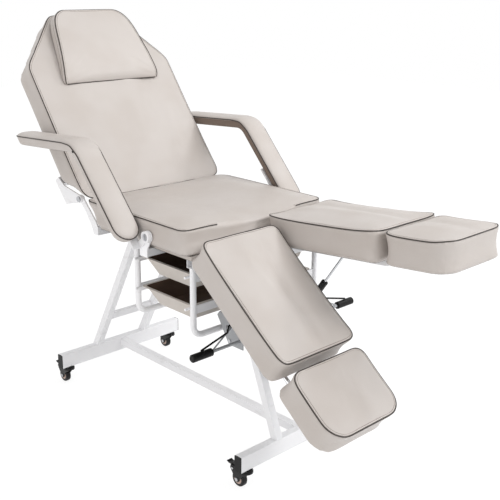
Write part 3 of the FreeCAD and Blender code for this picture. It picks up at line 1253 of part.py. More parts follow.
def caster_pedal(x, y):
    """The brake pedal, with a shoe between the fork plates and a turned-up tread."""
    axle_y = y + TRAIL
    half = WHEEL_WIDTH / 2 + FORK_GAP - PEDAL_SIDE_GAP
    sheet = PEDAL_SHEET
    line = [(0, PEDAL_SHOE_Z), (PEDAL_PIVOT_Y * 2, PEDAL_SHOE_Z),
            (FORK_EAR_REAR - sheet, PEDAL_SHOE_Z + sheet / 2), (FORK_EAR_REAR, PEDAL_NECK_Z),
            (PEDAL_TIP_Y - sheet * 3, PEDAL_NECK_Z), (PEDAL_TIP_Y - sheet, PEDAL_NECK_Z + sheet),
            (PEDAL_TIP_Y, PEDAL_TOP_Z - sheet / 2), (PEDAL_TIP_Y - sheet, PEDAL_TOP_Z),
            (PEDAL_TIP_Y - sheet * 3, PEDAL_NECK_Z + sheet), (FORK_TAIL + sheet, PEDAL_NECK_Z + sheet),
            (FORK_EAR_REAR, PEDAL_TOP_Z), (0, PEDAL_TOP_Z)]
    points = [(axle_y + along, WHEEL_RADIUS + up) for along, up in line]
    pin_y = axle_y + PEDAL_PIVOT_Y
    pin_z = WHEEL_RADIUS + PEDAL_PIVOT_Z
    shape = prism_x(points, x - half, x + half)
    return shape.cut(rod(PEDAL_PIN_RADIUS + RUNNING_FIT, V(x - half - OVERRUN, pin_y, pin_z),
                         V(x + half + OVERRUN, pin_y, pin_z)))


def all_parts():
    """Every node's name and shape."""
    parts = {
        "front_base_beam": base_beam(FRONT_BEAM_Y),
        "rear_base_beam": base_beam(REAR_BEAM_Y),
        "beam_end_caps": beam_end_caps(),
        "base_centre_tube": base_centre_tube(),
        "front_legs": Part.makeCompound([leg(side * FRONT_LEG_X, FRONT_BEAM_Y, FRONT_RAIL_Y)
                                         for side in (-1, 1)]),
        "rear_legs": Part.makeCompound([leg(side * REAR_LEG_X, REAR_BEAM_Y, REAR_RAIL_Y)
                                        for side in (-1, 1)]),
        "rear_leg_crossbar": rear_leg_crossbar(),
        "seat_frame_rails": seat_frame_rails(),
        "knee_pins": knee_pins(),
        "seat_board": seat_board(),
        "seat_cushion": seat_cushion(),
        "back_hinge_gussets": back_hinge_gussets(),
        "hinge_bolts": hinge_bolts(),
        "tray_hanger_front": tray_hanger(FRONT_RAIL_Y),
        "tray_hanger_rear": tray_hanger(TRAY_RAIL_Y),
        "tray_crossbars": tray_crossbars(),
        "tray_rods": tray_rods(),
        "tray_upper": tray(UPPER_RIM_Z),
        "tray_lower": tray(LOWER_RIM_Z),
        "back_frame": back_frame(),
        "back_board": back_board(),
        "back_cushion": back_cushion(),
        "headrest_pillow": headrest_pillow(),
        "arm_pivots": arm_pivots(),
        "lever_brackets": Part.makeCompound(lever_bracket(-1) + lever_bracket(1)),
        "bracket_pins": bracket_pins(),
        "handle_grips": handle_grips(),
        "caster_stems": caster_stems(),
    }
    for side_name, side in SIDES.items():
        parts["arm_pad_" + side_name] = arm_pad(side)
        parts["arm_board_" + side_name] = arm_board(side)
        parts["arm_bracket_" + side_name] = arm_bracket(side)
        parts["calf_pad_" + side_name] = calf_pad(side_name)
        parts["calf_frame_" + side_name] = calf_frame(side_name)
        parts["foot_pad_" + side_name] = foot_pad(side_name)
        parts["foot_slide_" + side_name] = foot_slide(side_name)
        parts["gas_cylinder_" + side_name] = gas_cylinder(side_name)
        parts["gas_rod_" + side_name] = gas_rod(side_name)
        parts["release_lever_" + side_name] = release_lever(side_name)
    for place, (x, y) in CASTER_PLACES.items():
        parts["caster_fork_" + place] = caster_fork(x, y)
        parts["caster_wheel_" + place] = caster_wheel(x, y)
        parts["caster_pedal_" + place] = caster_pedal(x, y)
    return parts


os.makedirs("parts", exist_ok=True)
for name, shape in all_parts().items():
    shape.translate(V(0, -MIDDLE_Y, 0))
    shape.exportStep("parts/" + name + ".step")
    print(name, len(shape.Solids), "solids", round(shape.Volume / 1000, 1), "cm3",
          "valid" if shape.isValid() else "NOT VALID")
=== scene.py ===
# %% [markdown]
# # A tattoo chair, dressed around its measured frame
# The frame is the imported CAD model: every tube, bolt and caster is already in its right
# place and moves with its own body. This script gives those parts their finishes, and
# replaces the plain cushion solids with soft, piped upholstery.
# %% Load the frame
import json
import math
import bpy
import bmesh
import numpy as np
from mathutils import Matrix, Vector, noise
from mathutils.bvhtree import BVHTree


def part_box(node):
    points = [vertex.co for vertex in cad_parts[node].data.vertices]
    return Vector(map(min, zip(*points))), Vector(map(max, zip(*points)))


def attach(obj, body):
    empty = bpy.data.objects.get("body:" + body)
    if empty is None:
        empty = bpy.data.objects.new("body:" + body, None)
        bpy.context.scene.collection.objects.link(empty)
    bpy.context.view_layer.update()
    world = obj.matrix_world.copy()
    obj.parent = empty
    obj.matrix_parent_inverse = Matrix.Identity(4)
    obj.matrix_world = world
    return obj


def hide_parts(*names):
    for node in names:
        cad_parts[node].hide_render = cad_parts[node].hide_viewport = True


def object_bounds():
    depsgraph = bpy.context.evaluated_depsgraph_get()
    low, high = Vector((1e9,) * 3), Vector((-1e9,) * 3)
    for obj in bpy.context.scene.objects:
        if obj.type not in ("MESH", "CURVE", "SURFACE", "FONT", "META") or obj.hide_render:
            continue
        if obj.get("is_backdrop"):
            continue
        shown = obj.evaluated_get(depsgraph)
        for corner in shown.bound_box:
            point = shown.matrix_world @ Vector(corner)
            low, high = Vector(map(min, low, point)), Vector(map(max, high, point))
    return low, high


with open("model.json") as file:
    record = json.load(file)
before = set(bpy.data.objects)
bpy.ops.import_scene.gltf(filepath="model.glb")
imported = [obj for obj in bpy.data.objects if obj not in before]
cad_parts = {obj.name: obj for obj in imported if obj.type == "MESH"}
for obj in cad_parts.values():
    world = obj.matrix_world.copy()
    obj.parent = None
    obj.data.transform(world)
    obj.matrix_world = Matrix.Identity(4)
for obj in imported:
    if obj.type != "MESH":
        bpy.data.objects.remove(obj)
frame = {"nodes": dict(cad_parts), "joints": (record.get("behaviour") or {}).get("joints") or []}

scene = bpy.context.scene
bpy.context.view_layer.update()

# %% [markdown]
# ## The camera
# The photograph was taken from the sitter's right, a little above the seat. A camera is a
# place, a heading, a slope and a lens, so those four are written down instead of dragging
# the camera by hand, and its axes are worked out from them.
# %% Camera
CAMERA_AT = Vector((-1.767, -1.9659, 1.437))
HEADING = math.radians(43.81)
SLOPE = math.radians(17.44)
ROLL = math.radians(0.58)
LENS_MM = 61.86


def make_camera():
    """A camera whose axes come from its heading, slope and roll."""
    ahead = Vector((math.sin(HEADING) * math.cos(SLOPE), math.cos(HEADING) * math.cos(SLOPE),
                    -math.sin(SLOPE)))
    level = Vector((math.cos(HEADING), -math.sin(HEADING), 0))
    upright = level.cross(ahead)
    right = level * math.cos(ROLL) + upright * math.sin(ROLL)
    above = upright * math.cos(ROLL) - level * math.sin(ROLL)
    data = bpy.data.cameras.new("camera")
    data.lens = LENS_MM
    data.sensor_width = 36
    camera = bpy.data.objects.new("camera", data)
    turn = Matrix((right, above, -ahead)).transposed().to_4x4()
    camera.matrix_world = Matrix.Translation(CAMERA_AT) @ turn
    scene.collection.objects.link(camera)
    scene.camera = camera
    return camera


print("camera at", [round(v, 3) for v in make_camera().location])

# %% [markdown]
# ## Writing materials as sums
# A material's pattern is arithmetic on numbers that change over the surface. Wiring Math
# nodes by hand hides that, so `Signal` wraps one socket and turns `a * b + 1` into nodes,
# and `Nodes.node` makes every other kind of node.
# %% A socket that can be added and multiplied
class Signal:
    """A number, colour or vector on a socket, used in ordinary expressions."""

    def __init__(self, nodes, socket):
        self.nodes = nodes
        self.socket = socket

    def math(self, operation, *others):
        values = dict(enumerate((self,) + others))
        return self.nodes.node("ShaderNodeMath", {"operation": operation}, values)

    def turned(self, operation, other):
        return self.nodes.node("ShaderNodeMath", {"operation": operation}, {0: other, 1: self})

    def __add__(self, other): return self.math("ADD", other)
    def __radd__(self, other): return self.turned("ADD", other)
    def __sub__(self, other): return self.math("SUBTRACT", other)
    def __rsub__(self, other): return self.turned("SUBTRACT", other)
    def __mul__(self, other): return self.math("MULTIPLY", other)
    def __rmul__(self, other): return self.turned("MULTIPLY", other)
    def __pow__(self, other): return self.math("POWER", other)
    def __rpow__(self, other): return self.turned("POWER", other)

    def step(self, low, high):
        """0 below low, 1 above high, and a smooth rise between them."""
        return self.nodes.node("ShaderNodeMapRange", {"interpolation_type": "SMOOTHSTEP"},
                               {"Value": self, "From Min": low, "From Max": high})

    def beyond(self, limit, soft):
        """0 up to a limit and 1 past it, with an edge of a given half width."""
        return self.step(limit - soft, limit + soft)


# %% Trees and materials under construction
class Nodes:
    """Adds nodes to a tree and feeds their sockets."""

    def feed(self, socket, value):
        if isinstance(value, Signal):
            self.tree.links.new(value.socket, socket)
        elif isinstance(value, tuple) and len(value) == 3 and socket.type == "RGBA":
            socket.default_value = value + (1.0,)
        else:
            socket.default_value = value

    def node(self, kind, settings=None, values=None, output=0):
        made = self.tree.nodes.new(kind)
        for key, value in (settings or {}).items():
            setattr(made, key, value)
        for key, value in (values or {}).items():
            self.feed(made.inputs[key], value)
        return Signal(self, made.outputs[output])


class Paint(Nodes):
    """Builds the nodes of one material, or of the world."""

    def __init__(self, name, gloss=None, owner=None):
        self.material = owner or bpy.data.materials.new(name)
        self.material.use_nodes = True
        self.tree = self.material.node_tree
        self.shader = self.tree.nodes.get("Principled BSDF")
        if self.shader:
            self.place = self.node("ShaderNodeTexCoord", output="Object")
        if gloss:
            self.shader.inputs["Specular IOR Level"].default_value = gloss

    def stretched(self, x, y, z):
        return self.node("ShaderNodeMapping", values={"Vector": self.place, "Scale": (x, y, z)})

    def noise(self, scale, detail=2.0, vector=None):
        return self.node("ShaderNodeTexNoise", values={
            "Vector": vector or self.place, "Scale": scale, "Detail": detail})

    def cells(self, scale):
        return self.node("ShaderNodeTexVoronoi", {"feature": "SMOOTH_F1"}, {
            "Vector": self.place, "Scale": scale, "Smoothness": 0.35})

    def axis(self, name):
        return self.node("ShaderNodeSeparateXYZ", values={"Vector": self.place}, output=name)

    def blend(self, share, first, second):
        return self.node("ShaderNodeMix", {"data_type": "RGBA"}, {0: share, 6: first, 7: second},
                         output=2)

    def bump(self, height, depth):
        return self.node("ShaderNodeBump", values={"Height": height, "Distance": depth,
                                                   "Strength": 1.0})

    def done(self, **sockets):
        for key, value in sockets.items():
            self.feed(self.shader.inputs[key.replace("_", " ")], value)
        return self.material


def srgb(*levels):
    """A colour as it is seen on a screen, 0 to 255, made linear for the shader."""
    shares = [level / 255 for level in levels]
    return tuple(share / 12.92 if share <= 0.04045 else ((share + 0.055) / 1.055) ** 2.4
                 for share in shares)


def scaled(colour, factor):
    return tuple(value * factor for value in colour)


# %% [markdown]
# ## Upholstery
# The covers are pebbled synthetic leather in a warm pale greige. The pebbles are smooth cells
# about a millimetre wide, with a little painted shade in their hollows, the tone drifts a little
# from place to place, and the underside is a dark dust cloth. A number stored on each point of a
# pad says how much of the dust cloth shows there. On the arms the same number marks the underside
# and the inner face, which are painted brown as the shade they lie in.
# %% Leather, dust cloth and piping
LEATHER = srgb(191, 184, 179)
LEATHER_SHADE = srgb(186, 178, 172)
BAND_SHADE = srgb(112, 99, 90)
DUST_CLOTH = srgb(44, 41, 39)
PEBBLES = 820.0         # cells across a metre


def woven(paint, colour):
    """A fine weave's height and its colour."""
    weave = paint.noise(700.0, 1.0, paint.stretched(1.0, 0.35, 1.0))
    return weave, paint.blend(weave, colour, scaled(colour, 1.5))


def leather(name, tint=1.0, under_colour=DUST_CLOTH):
    """Pebbled leather; where the piece's "under" number is 1 the under colour shows."""
    paint = Paint(name)
    pebbles = paint.cells(PEBBLES)
    creases = paint.noise(260.0, 3.0)
    drift_tone_and_pit_shade = scaled(LEATHER_SHADE, tint)
    colour = paint.blend(paint.noise(7.0).step(0.35, 0.7), scaled(LEATHER, tint), drift_tone_and_pit_shade)
    # The pebbles' hollows are darkened a little here: painted shade in the grain.
    colour = paint.blend((1.0 - pebbles.step(0.02, 0.3)) * 0.18, colour, drift_tone_and_pit_shade)
    grain = pebbles * 0.7 + creases * 0.3
    rough = 0.34 + 0.16 * paint.noise(38.0, 3.0)
    if under_colour:
        under = paint.node("ShaderNodeAttribute", {"attribute_name": "under"}, output="Fac")
        weave, cloth = woven(paint, under_colour)
        mask = under.step(0.4, 0.6)
        colour = paint.blend(mask, colour, cloth)
        rough = rough * (1.0 - mask) + 0.92 * mask
        grain = grain * (1.0 - mask) + weave * mask
    return paint.done(Base_Color=colour, Roughness=rough, Normal=paint.bump(grain, 0.00035))


def cord_vinyl(name, dark, light):
    paint = Paint(name)
    tone = paint.noise(90.0)
    return paint.done(Base_Color=paint.blend(tone, dark, light), Roughness=0.42 + 0.14 * tone,
                      Normal=paint.bump(paint.noise(900.0), 0.0002))


UPHOLSTERY = leather("pale pebbled leather")
# The welt is the pads' leather made 8% lighter: a painted highlight on the rolled welt.
WELT = leather("leather welt", 1.08, under_colour=None)
# The arms' under colour, BAND_SHADE, is painted shade: a brown band on their underside and inner
# face.
ARM_LEATHER = leather("arm leather with a dark inner band", 1.0, BAND_SHADE)
PIPING = cord_vinyl("piping vinyl", srgb(43, 36, 32), srgb(62, 54, 48))
# The thin line along the stitching is coloured darker than the leather: painted shade of its
# groove.
GROOVE_SHADE_LINE = cord_vinyl("stitched groove", srgb(120, 110, 103), srgb(138, 128, 120))
print("upholstery:", [m.name for m in (UPHOLSTERY, WELT, ARM_LEATHER, PIPING, GROOVE_SHADE_LINE)])

# %% [markdown]
# ## Metals
# The frame is steel tube under white powder coat, which dries with a faint orange-peel skin and
# gets scuffed here and there. Bolts are zinc plated, with a cloudy tone from place to place, and
# the sliding rods are chrome, almost a mirror with faint smears.
# %% Powder coat, zinc, chrome and black paint
def powder_coat(name, colour, scuffed, rough=0.34):
    paint = Paint(name)
    peel = paint.noise(420.0)
    scuff = paint.noise(14.0, 6.0, paint.stretched(1.0, 1.0, 3.0)).step(0.60, 0.80)
    tone = paint.blend(scuff * 0.55, colour, scuffed)
    return paint.done(Base_Color=tone, Roughness=rough + 0.18 * scuff + 0.06 * peel,
                      Normal=paint.bump(peel, 0.00022))


def plated(name, colour, rough, cloud):
    paint = Paint(name)
    cloudy = paint.noise(cloud, 4.0)
    smear = paint.noise(60.0, 3.0, paint.stretched(1.0, 0.2, 1.0))
    tone = paint.blend(cloudy, colour, scaled(colour, 0.82))
    return paint.done(Base_Color=tone, Metallic=1.0, Roughness=rough * (0.6 + 0.8 * smear),
                      Normal=paint.bump(smear, 0.00004))


def black_gloss(name, colour, rough, grain, depth):
    paint = Paint(name, gloss=0.22)
    wear = paint.noise(55.0, 5.0).step(0.62, 0.78)
    tone = paint.blend(wear * 0.3, colour, tuple(value * 3.0 + 0.004 for value in colour))
    return paint.done(Base_Color=tone, Roughness=rough + 0.15 * wear,
                      Normal=paint.bump(paint.cells(grain), depth))


WHITE_COAT = powder_coat("white powder coat", srgb(240, 240, 242), srgb(214, 213, 213))
# The lever brackets are coloured grey for the shade they sit in: painted shade on their coat.
SHADE_GREY_COAT = powder_coat("grey powder coat", srgb(163, 165, 168), srgb(128, 128, 130), 0.38)
ZINC = plated("zinc plate", srgb(196, 197, 200), 0.34, 70.0)
CHROME = plated("chrome plate", srgb(222, 223, 226), 0.12, 20.0)
BLACK_PAINT = black_gloss("black stoved paint", srgb(9, 9, 10), 0.16, 300.0, 0.00006)
BLACK_PLASTIC = black_gloss("black moulded plastic", srgb(14, 14, 15), 0.40, 700.0, 0.00012)
GRIP_RUBBER = black_gloss("black grip rubber", srgb(12, 12, 12), 0.46, 420.0, 0.0004)
print("metals and plastics ready:", len(bpy.data.materials), "materials so far")

# %% [markdown]
# ## Boards and trays
# The covers are pulled round the edges of their boards and stapled below, where a dark dust cloth
# closes them, so a board is leather at its rim and cloth underneath. The trays are pale, with
# their insides painted dark brown as the shade under the seat, so their colour is chosen by where
# a point lies: inside the middle of the tray's sloping walls, or outside it.
# %% Wrapped boards and tray plastic
def wrapped_board(name, tilt, level):
    """A board wrapped in leather at its edges, with dust cloth over its lower face."""
    paint = Paint(name)
    height = paint.axis("Z") * math.cos(tilt) - paint.axis("Y") * math.sin(tilt)
    under = 1.0 - height.beyond(level + 0.0008, 0.0004)
    weave, cloth = woven(paint, DUST_CLOTH)
    grain = paint.cells(PEBBLES) * (1.0 - under) + weave * under
    return paint.done(Base_Color=paint.blend(under, LEATHER_SHADE, cloth),
                      Roughness=0.48 + 0.42 * under, Normal=paint.bump(grain, 0.0003))


TRAY_DEPTH = 53.0       # mm; the walls lean in by 20, 14 and 40 mm over it
TRAY_END_SLOPE, TRAY_FRONT_SLOPE, TRAY_REAR_SLOPE = (
    taper / TRAY_DEPTH for taper in (20.0, 14.0, 40.0))
TRAY_LIP, TRAY_CORNER, TRAY_HALF_WALL = 0.009, 0.014, 0.0010
# From the lip's inner edge to the middle of each wall at the rim.
TRAY_WALL_X, TRAY_WALL_FRONT, TRAY_WALL_REAR = 0.0001, 0.0005, -0.0006
TRAY_EDGE = 0.0003


def tray_plastic(node_name):
    """Pale; painted dark brown as shade where a point lies within the middle of the tray's walls.
    """
    low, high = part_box(node_name)
    paint = Paint("plastic of " + node_name, gloss=0.15)
    x = paint.axis("X")
    y = paint.axis("Y")
    down = float(high.z) - paint.axis("Z")
    side = float(high.x) - TRAY_LIP - TRAY_WALL_X
    front = float(low.y) + TRAY_LIP + TRAY_WALL_FRONT
    rear = float(high.y) - TRAY_LIP - TRAY_WALL_REAR
    gap_x = side - down * TRAY_END_SLOPE - x.math("ABSOLUTE")
    gap_y = (y - (front + down * TRAY_FRONT_SLOPE)).math(
        "MINIMUM", (rear - down * TRAY_REAR_SLOPE) - y)
    reach_x = (TRAY_CORNER - gap_x).math("MAXIMUM", 0.0)
    reach_y = (TRAY_CORNER - gap_y).math("MAXIMUM", 0.0)
    reach = (reach_x * reach_x + reach_y * reach_y) ** 0.5
    over_floor = float(high.z - low.z) - TRAY_HALF_WALL - down
    inside = (TRAY_CORNER - reach).beyond(0.0, TRAY_EDGE) * over_floor.beyond(0.0, TRAY_EDGE)
    wear = paint.noise(30.0, 5.0, paint.stretched(0.25, 1.0, 1.0))
    # The dark brown of the tray's inside is painted shade.
    brown = paint.blend(wear, srgb(74, 58, 48), srgb(98, 80, 68))
    pale = paint.blend(wear, srgb(206, 200, 194), srgb(196, 189, 182))
    return paint.done(Base_Color=paint.blend(inside, pale, brown), Roughness=0.52 + 0.2 * wear,
                      Normal=paint.bump(paint.cells(620.0), 0.00015))


SEAT_BOARD = wrapped_board("wrapped seat board", 0.0, float(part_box("seat_board")[0].z))
BACK_TILT = math.radians(53)
BACK_AT = Vector((0, 0.3801, 0.805))
BACK_OUT = Vector((0, -math.sin(BACK_TILT), math.cos(BACK_TILT)))
BACK_BOARD_UNDER = -0.102
BACK_BOARD = wrapped_board("wrapped back board", BACK_TILT,
                           float(BACK_AT.dot(BACK_OUT)) + BACK_BOARD_UNDER)
TRAY_SKINS = {name: tray_plastic(name) for name in ("tray_upper", "tray_lower")}
print("boards and trays:", SEAT_BOARD.name, BACK_BOARD.name, sorted(TRAY_SKINS))

# %% [markdown]
# ## Dressing the frame's own parts
# The tubes, brackets and bolts already have their right shapes, so each only needs its
# finish in place of the plain colour it came with.
# %% Finishes by node
RING_INNER, RING_OUTER = 0.0090, 0.0155
PAINT_EDGE = 0.0002
WHITE, BLACK = srgb(240, 240, 242), srgb(9, 9, 10)


def wheel_paint(node_name):
    """Black tyre and hub with a pale ring between them, told by the distance to the axle."""
    low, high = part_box(node_name)
    axle_y, axle_z = (low.y + high.y) / 2, (low.z + high.z) / 2
    paint = Paint("paint of " + node_name, gloss=0.25)
    y = paint.axis("Y") - axle_y
    z = paint.axis("Z") - axle_z
    radius = (y * y + z * z) ** 0.5
    ring = (radius.beyond(RING_INNER, PAINT_EDGE)
            * (1.0 - radius.beyond(RING_OUTER, PAINT_EDGE)))
    dust = paint.noise(240.0, 3.0)
    colour = paint.blend(ring, paint.blend(dust, srgb(10, 10, 11), srgb(20, 20, 21)),
                         paint.blend(dust, srgb(198, 176, 164), srgb(186, 162, 150)))
    return paint.done(Base_Color=colour, Roughness=0.28 + 0.2 * dust,
                      Normal=paint.bump(dust, 0.0001))


FINISHES = {
    "seat_board": SEAT_BOARD, "back_board": BACK_BOARD, "beam_end_caps": BLACK_PLASTIC,
    "handle_grips": GRIP_RUBBER, "lever_brackets": SHADE_GREY_COAT, "caster_stems": BLACK_PAINT,
    "knee_pins": ZINC, "hinge_bolts": ZINC, "bracket_pins": ZINC, **TRAY_SKINS,
}
FINISH_BY_START = {
    "gas_cylinder": BLACK_PAINT, "gas_rod": CHROME, "foot_slide": CHROME,
    "release_lever": BLACK_PAINT, "caster_pedal": BLACK_PLASTIC,
}
FORK_OUTER = 0.0126     # half the width over a fork's cheeks
FORK_TOP_LOW = 0.0570   # its axle and rivets lie below this height
PIN_STARTS = 0.3050     # the arm pivots' pins lie further out than this


def headed(name, coat_colour, rough, middle, reach, ceiling=None):
    """A coated part whose bolt heads, further out than reach, are bare zinc."""
    paint = Paint(name, gloss=0.3)
    away = (paint.axis("X") - middle).math("ABSOLUTE")
    bare = away.beyond(reach, PAINT_EDGE / 2)
    if ceiling:
        bare = bare * (1.0 - paint.axis("Z").beyond(ceiling, PAINT_EDGE))
    cloudy = paint.noise(90.0, 4.0)
    zinc = paint.blend(cloudy, srgb(204, 205, 208), srgb(176, 177, 180))
    coat = paint.blend(cloudy, coat_colour, scaled(coat_colour, 1.12))
    return paint.done(Base_Color=paint.blend(bare, coat, zinc), Metallic=bare,
                      Roughness=rough + 0.12 * bare + 0.05 * cloudy,
                      Normal=paint.bump(cloudy, 0.00008))


for node_name in frame["nodes"]:
    low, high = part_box(node_name)
    if node_name.startswith("caster_wheel"):
        FINISHES[node_name] = wheel_paint(node_name)
    if node_name.startswith("caster_fork"):
        FINISHES[node_name] = headed("paint of " + node_name, BLACK, 0.16,
                                     float(low.x + high.x) / 2, FORK_OUTER, FORK_TOP_LOW)
FINISHES["arm_pivots"] = headed("coat and pins of the arm pivots", WHITE, 0.34, 0.0, PIN_STARTS)
for name, node in frame["nodes"].items():
    by_start = [coat for start, coat in FINISH_BY_START.items() if name.startswith(start)]
    finish = FINISHES.get(name, (by_start + [WHITE_COAT])[0])
    if node.material_slots:
        for place in node.material_slots:
            place.material = finish
    else:
        node.data.materials.append(finish)
print("finished nodes:", len(frame["nodes"]))

# %% [markdown]
# ## From points to pieces
# Most pieces below are made of rings of points, one after another, like the hoops of a
# barrel. One helper joins such rings into a mesh, and another makes a mesh into a piece
# with a material, lying still at the origin with its place in its points.
# %% Rings to mesh
def mesh_of(name, points, faces):
    mesh = bpy.data.meshes.new(name)
    mesh.from_pydata([tuple(p) for p in points], [], faces)
    mesh.validate()
    return mesh


def ring_mesh(name, rings, capped=True, looped=False):
    """Join closed rings of equally many points, in order, with faces outwards."""
    count = len(rings[0])
    faces = []
    pairs = len(rings) if looped else len(rings) - 1
    for row in range(pairs):
        here, there = row * count, ((row + 1) % len(rings)) * count
        for i in range(count):
            j = (i + 1) % count
            faces.append((here + i, here + j, there + j, there + i))
    if capped:
        faces.append(tuple(reversed(range(count))))
        faces.append(tuple(range((len(rings) - 1) * count, len(rings) * count)))
    mesh = mesh_of(name, [p for ring in rings for p in ring], faces)
    shell = bmesh.new()
    shell.from_mesh(mesh)
    bmesh.ops.recalc_face_normals(shell, faces=shell.faces)
    shell.to_mesh(mesh)
    shell.free()
    return mesh


def piece_of(mesh, material, smooth=True):
    """A mesh as an object that lies still at the origin, with one material."""
    piece = bpy.data.objects.new(mesh.name, mesh)
    scene.collection.objects.link(piece)
    mesh.materials.clear()
    mesh.materials.append(material)
    mesh.polygons.foreach_set("use_smooth", [smooth] * len(mesh.polygons))
    return piece


def coords_of(mesh, what="co"):
    """Each point's place, or its normal, as one array."""
    flat = np.empty(len(mesh.vertices) * 3)
    mesh.vertices.foreach_get(what, flat)
    return flat.reshape(-1, 3)


def put_coords(mesh, coords):
    mesh.vertices.foreach_set("co", coords.ravel())
    mesh.update()


def baked(piece):
    """The piece's evaluated shape as a plain mesh; its modifiers are taken off."""
    bpy.context.view_layer.update()
    evaluated = piece.evaluated_get(bpy.context.evaluated_depsgraph_get())
    mesh = bpy.data.meshes.new_from_object(evaluated)
    mesh.name = piece.name
    piece.modifiers.clear()
    old = piece.data
    piece.data = mesh
    bpy.data.meshes.remove(old)
    return piece


# %% [markdown]
# ## The outline of a cushion
# Every pad is cut from a flat outline with rounded corners. Drawing that outline in or
# out by a few millimetres at each height gives a pad its edges, its drawn-in sides and
# its crown. All rings keep the same number of points, so that they can be joined.
# %% Rounded outlines
ARC_POINTS = 9
SIDE_POINTS = 14
LEAST_RADIUS_SHARE = 0.35


def rounded_ring(corners, inset):
    """Points round an anticlockwise outline of (u, v, radius), drawn in by inset."""
    spots = np.array([corner[:2] for corner in corners], float)
    ways = np.roll(spots, -1, axis=0) - spots
    ways = [way / np.linalg.norm(way) for way in ways]
    arcs = []
    for i in range(len(corners)):
        before, after = ways[i - 1], ways[i]
        inward = [np.array((-w[1], w[0])) for w in (before, after)]
        moved = spots[i] + (inward[0] + inward[1]) * inset / (1 + inward[0] @ inward[1])
        radius = max(corners[i][2] - inset, corners[i][2] * LEAST_RADIUS_SHARE)
        turn = math.acos(max(-1.0, min(1.0, before @ after)))
        reach = radius * math.tan(turn / 2)
        centre = moved - before * reach + inward[0] * radius
        start = moved - before * reach - centre
        arc = []
        for k in range(ARC_POINTS):
            a = turn * k / (ARC_POINTS - 1)
            arc.append(centre + np.array((start[0] * math.cos(a) - start[1] * math.sin(a),
                                          start[0] * math.sin(a) + start[1] * math.cos(a))))
        arcs.append(arc)
    ring = []
    for arc, following in zip(arcs, arcs[1:] + arcs[:1]):
        ring += arc
        first, last = arc[-1], following[0]
        ring += [first + (last - first) * k / SIDE_POINTS for k in range(1, SIDE_POINTS)]
    return np.array(ring)


def mirrored(*half):
    """Close an outline from its right half, listed from the bottom."""
    return list(half) + [(-u, v, radius) for u, v, radius in reversed(half)]


def at_height(flat, height):
    return np.column_stack([flat, np.full(len(flat), height)])


# %% [markdown]
# ## Soft pads by simulation
# A foam pad under a tight cover is a balloon that is held along its seam: the faces puff
# up, and the sides pull in between the seam and the board. So each pad starts a little
# too lean, is turned into even small squares, and is blown up as cloth with its seam and
# its underside held. All pads are simulated together, in one run of twenty frames.
# %% Pad shapes before the air goes in
LEAN_DRAW = 0.0065
SEAM_DROP = 0.0018
SEAM_INSET = 0.0016
CROWN = 0.009


def pad_rings(corners_at, thickness):
    """Rings of a lean pad, from its underside to its crown, in the pad's own frame."""
    levels = [(0.012, 0.0), (0.004, 0.0012), (0.0, 0.005),
              (LEAN_DRAW * 0.7, thickness * 0.25), (LEAN_DRAW, thickness * 0.5),
              (LEAN_DRAW * 0.7, thickness * 0.75), (0.0, thickness - 0.0045),
              (SEAM_INSET, thickness - SEAM_DROP), (0.0045, thickness),
              (0.012, thickness + CROWN * 0.14), (0.022, thickness + CROWN * 0.30),
              (0.040, thickness + CROWN * 0.52), (0.060, thickness + CROWN * 0.70),
              (0.085, thickness + CROWN * 0.80)]
    return [at_height(rounded_ring(corners_at(min(height, thickness)), inset), height)
            for inset, height in levels]


def cushion(corners_at, thickness, voxel):
    """A pad's rings, its grid size and the closed line of its seam, in its own frame."""
    seam = at_height(rounded_ring(corners_at(thickness), SEAM_INSET), thickness - SEAM_DROP)
    return pad_rings(corners_at, thickness), voxel, seam


def remeshed(name, rings, voxel):
    piece = piece_of(ring_mesh(name, rings), UPHOLSTERY)
    grid = piece.modifiers.new("grid", "REMESH")
    grid.mode = "VOXEL"
    grid.voxel_size = voxel
    grid.use_smooth_shade = True
    baked(piece)
    smooth = piece.modifiers.new("smooth", "SMOOTH")
    smooth.factor = 0.5
    smooth.iterations = 2
    return baked(piece)


# %% The outlines of the pad forms
PAD_THICKNESS = 0.090
SEAT_THICKNESS = 0.078


def seat_corners(height):
    share = min(height / SEAT_THICKNESS, 1.0)
    front = -0.180 + 0.013 * share
    rear = 0.283 + 0.054 * share
    return mirrored((0.299, front, 0.034), (0.299, rear, 0.034))


def back_corners(height):
    foot = -0.070 + 0.106 * (1 - min(height / PAD_THICKNESS, 1.0))
    return mirrored((0.295, foot, 0.040), (0.295, 0.443, 0.060), (0.134, 0.640, 0.045))


def calf_corners(height):
    return mirrored((0.148, -0.425, 0.026), (0.148, 0.0, 0.026))


def foot_corners(height):
    return mirrored((0.144, -0.216, 0.062), (0.144, 0.0, 0.036))


# %% Arms and pillow
ARM_LENGTH = 0.6973
ARM_HALF = 0.043
ARM_ROUND = ARM_HALF - 0.0005
ARM_DEPTH = 0.029
ARM_CROWN = 0.012
ARM_INNER_FACE = 0.030
ARM_OUTLINE = mirrored((ARM_HALF, 0.0, ARM_ROUND), (ARM_HALF, ARM_LENGTH, ARM_ROUND))
BOW_DRAW = 0.022        # how far the tip's underside is drawn back
BOW_LENGTH = 0.060


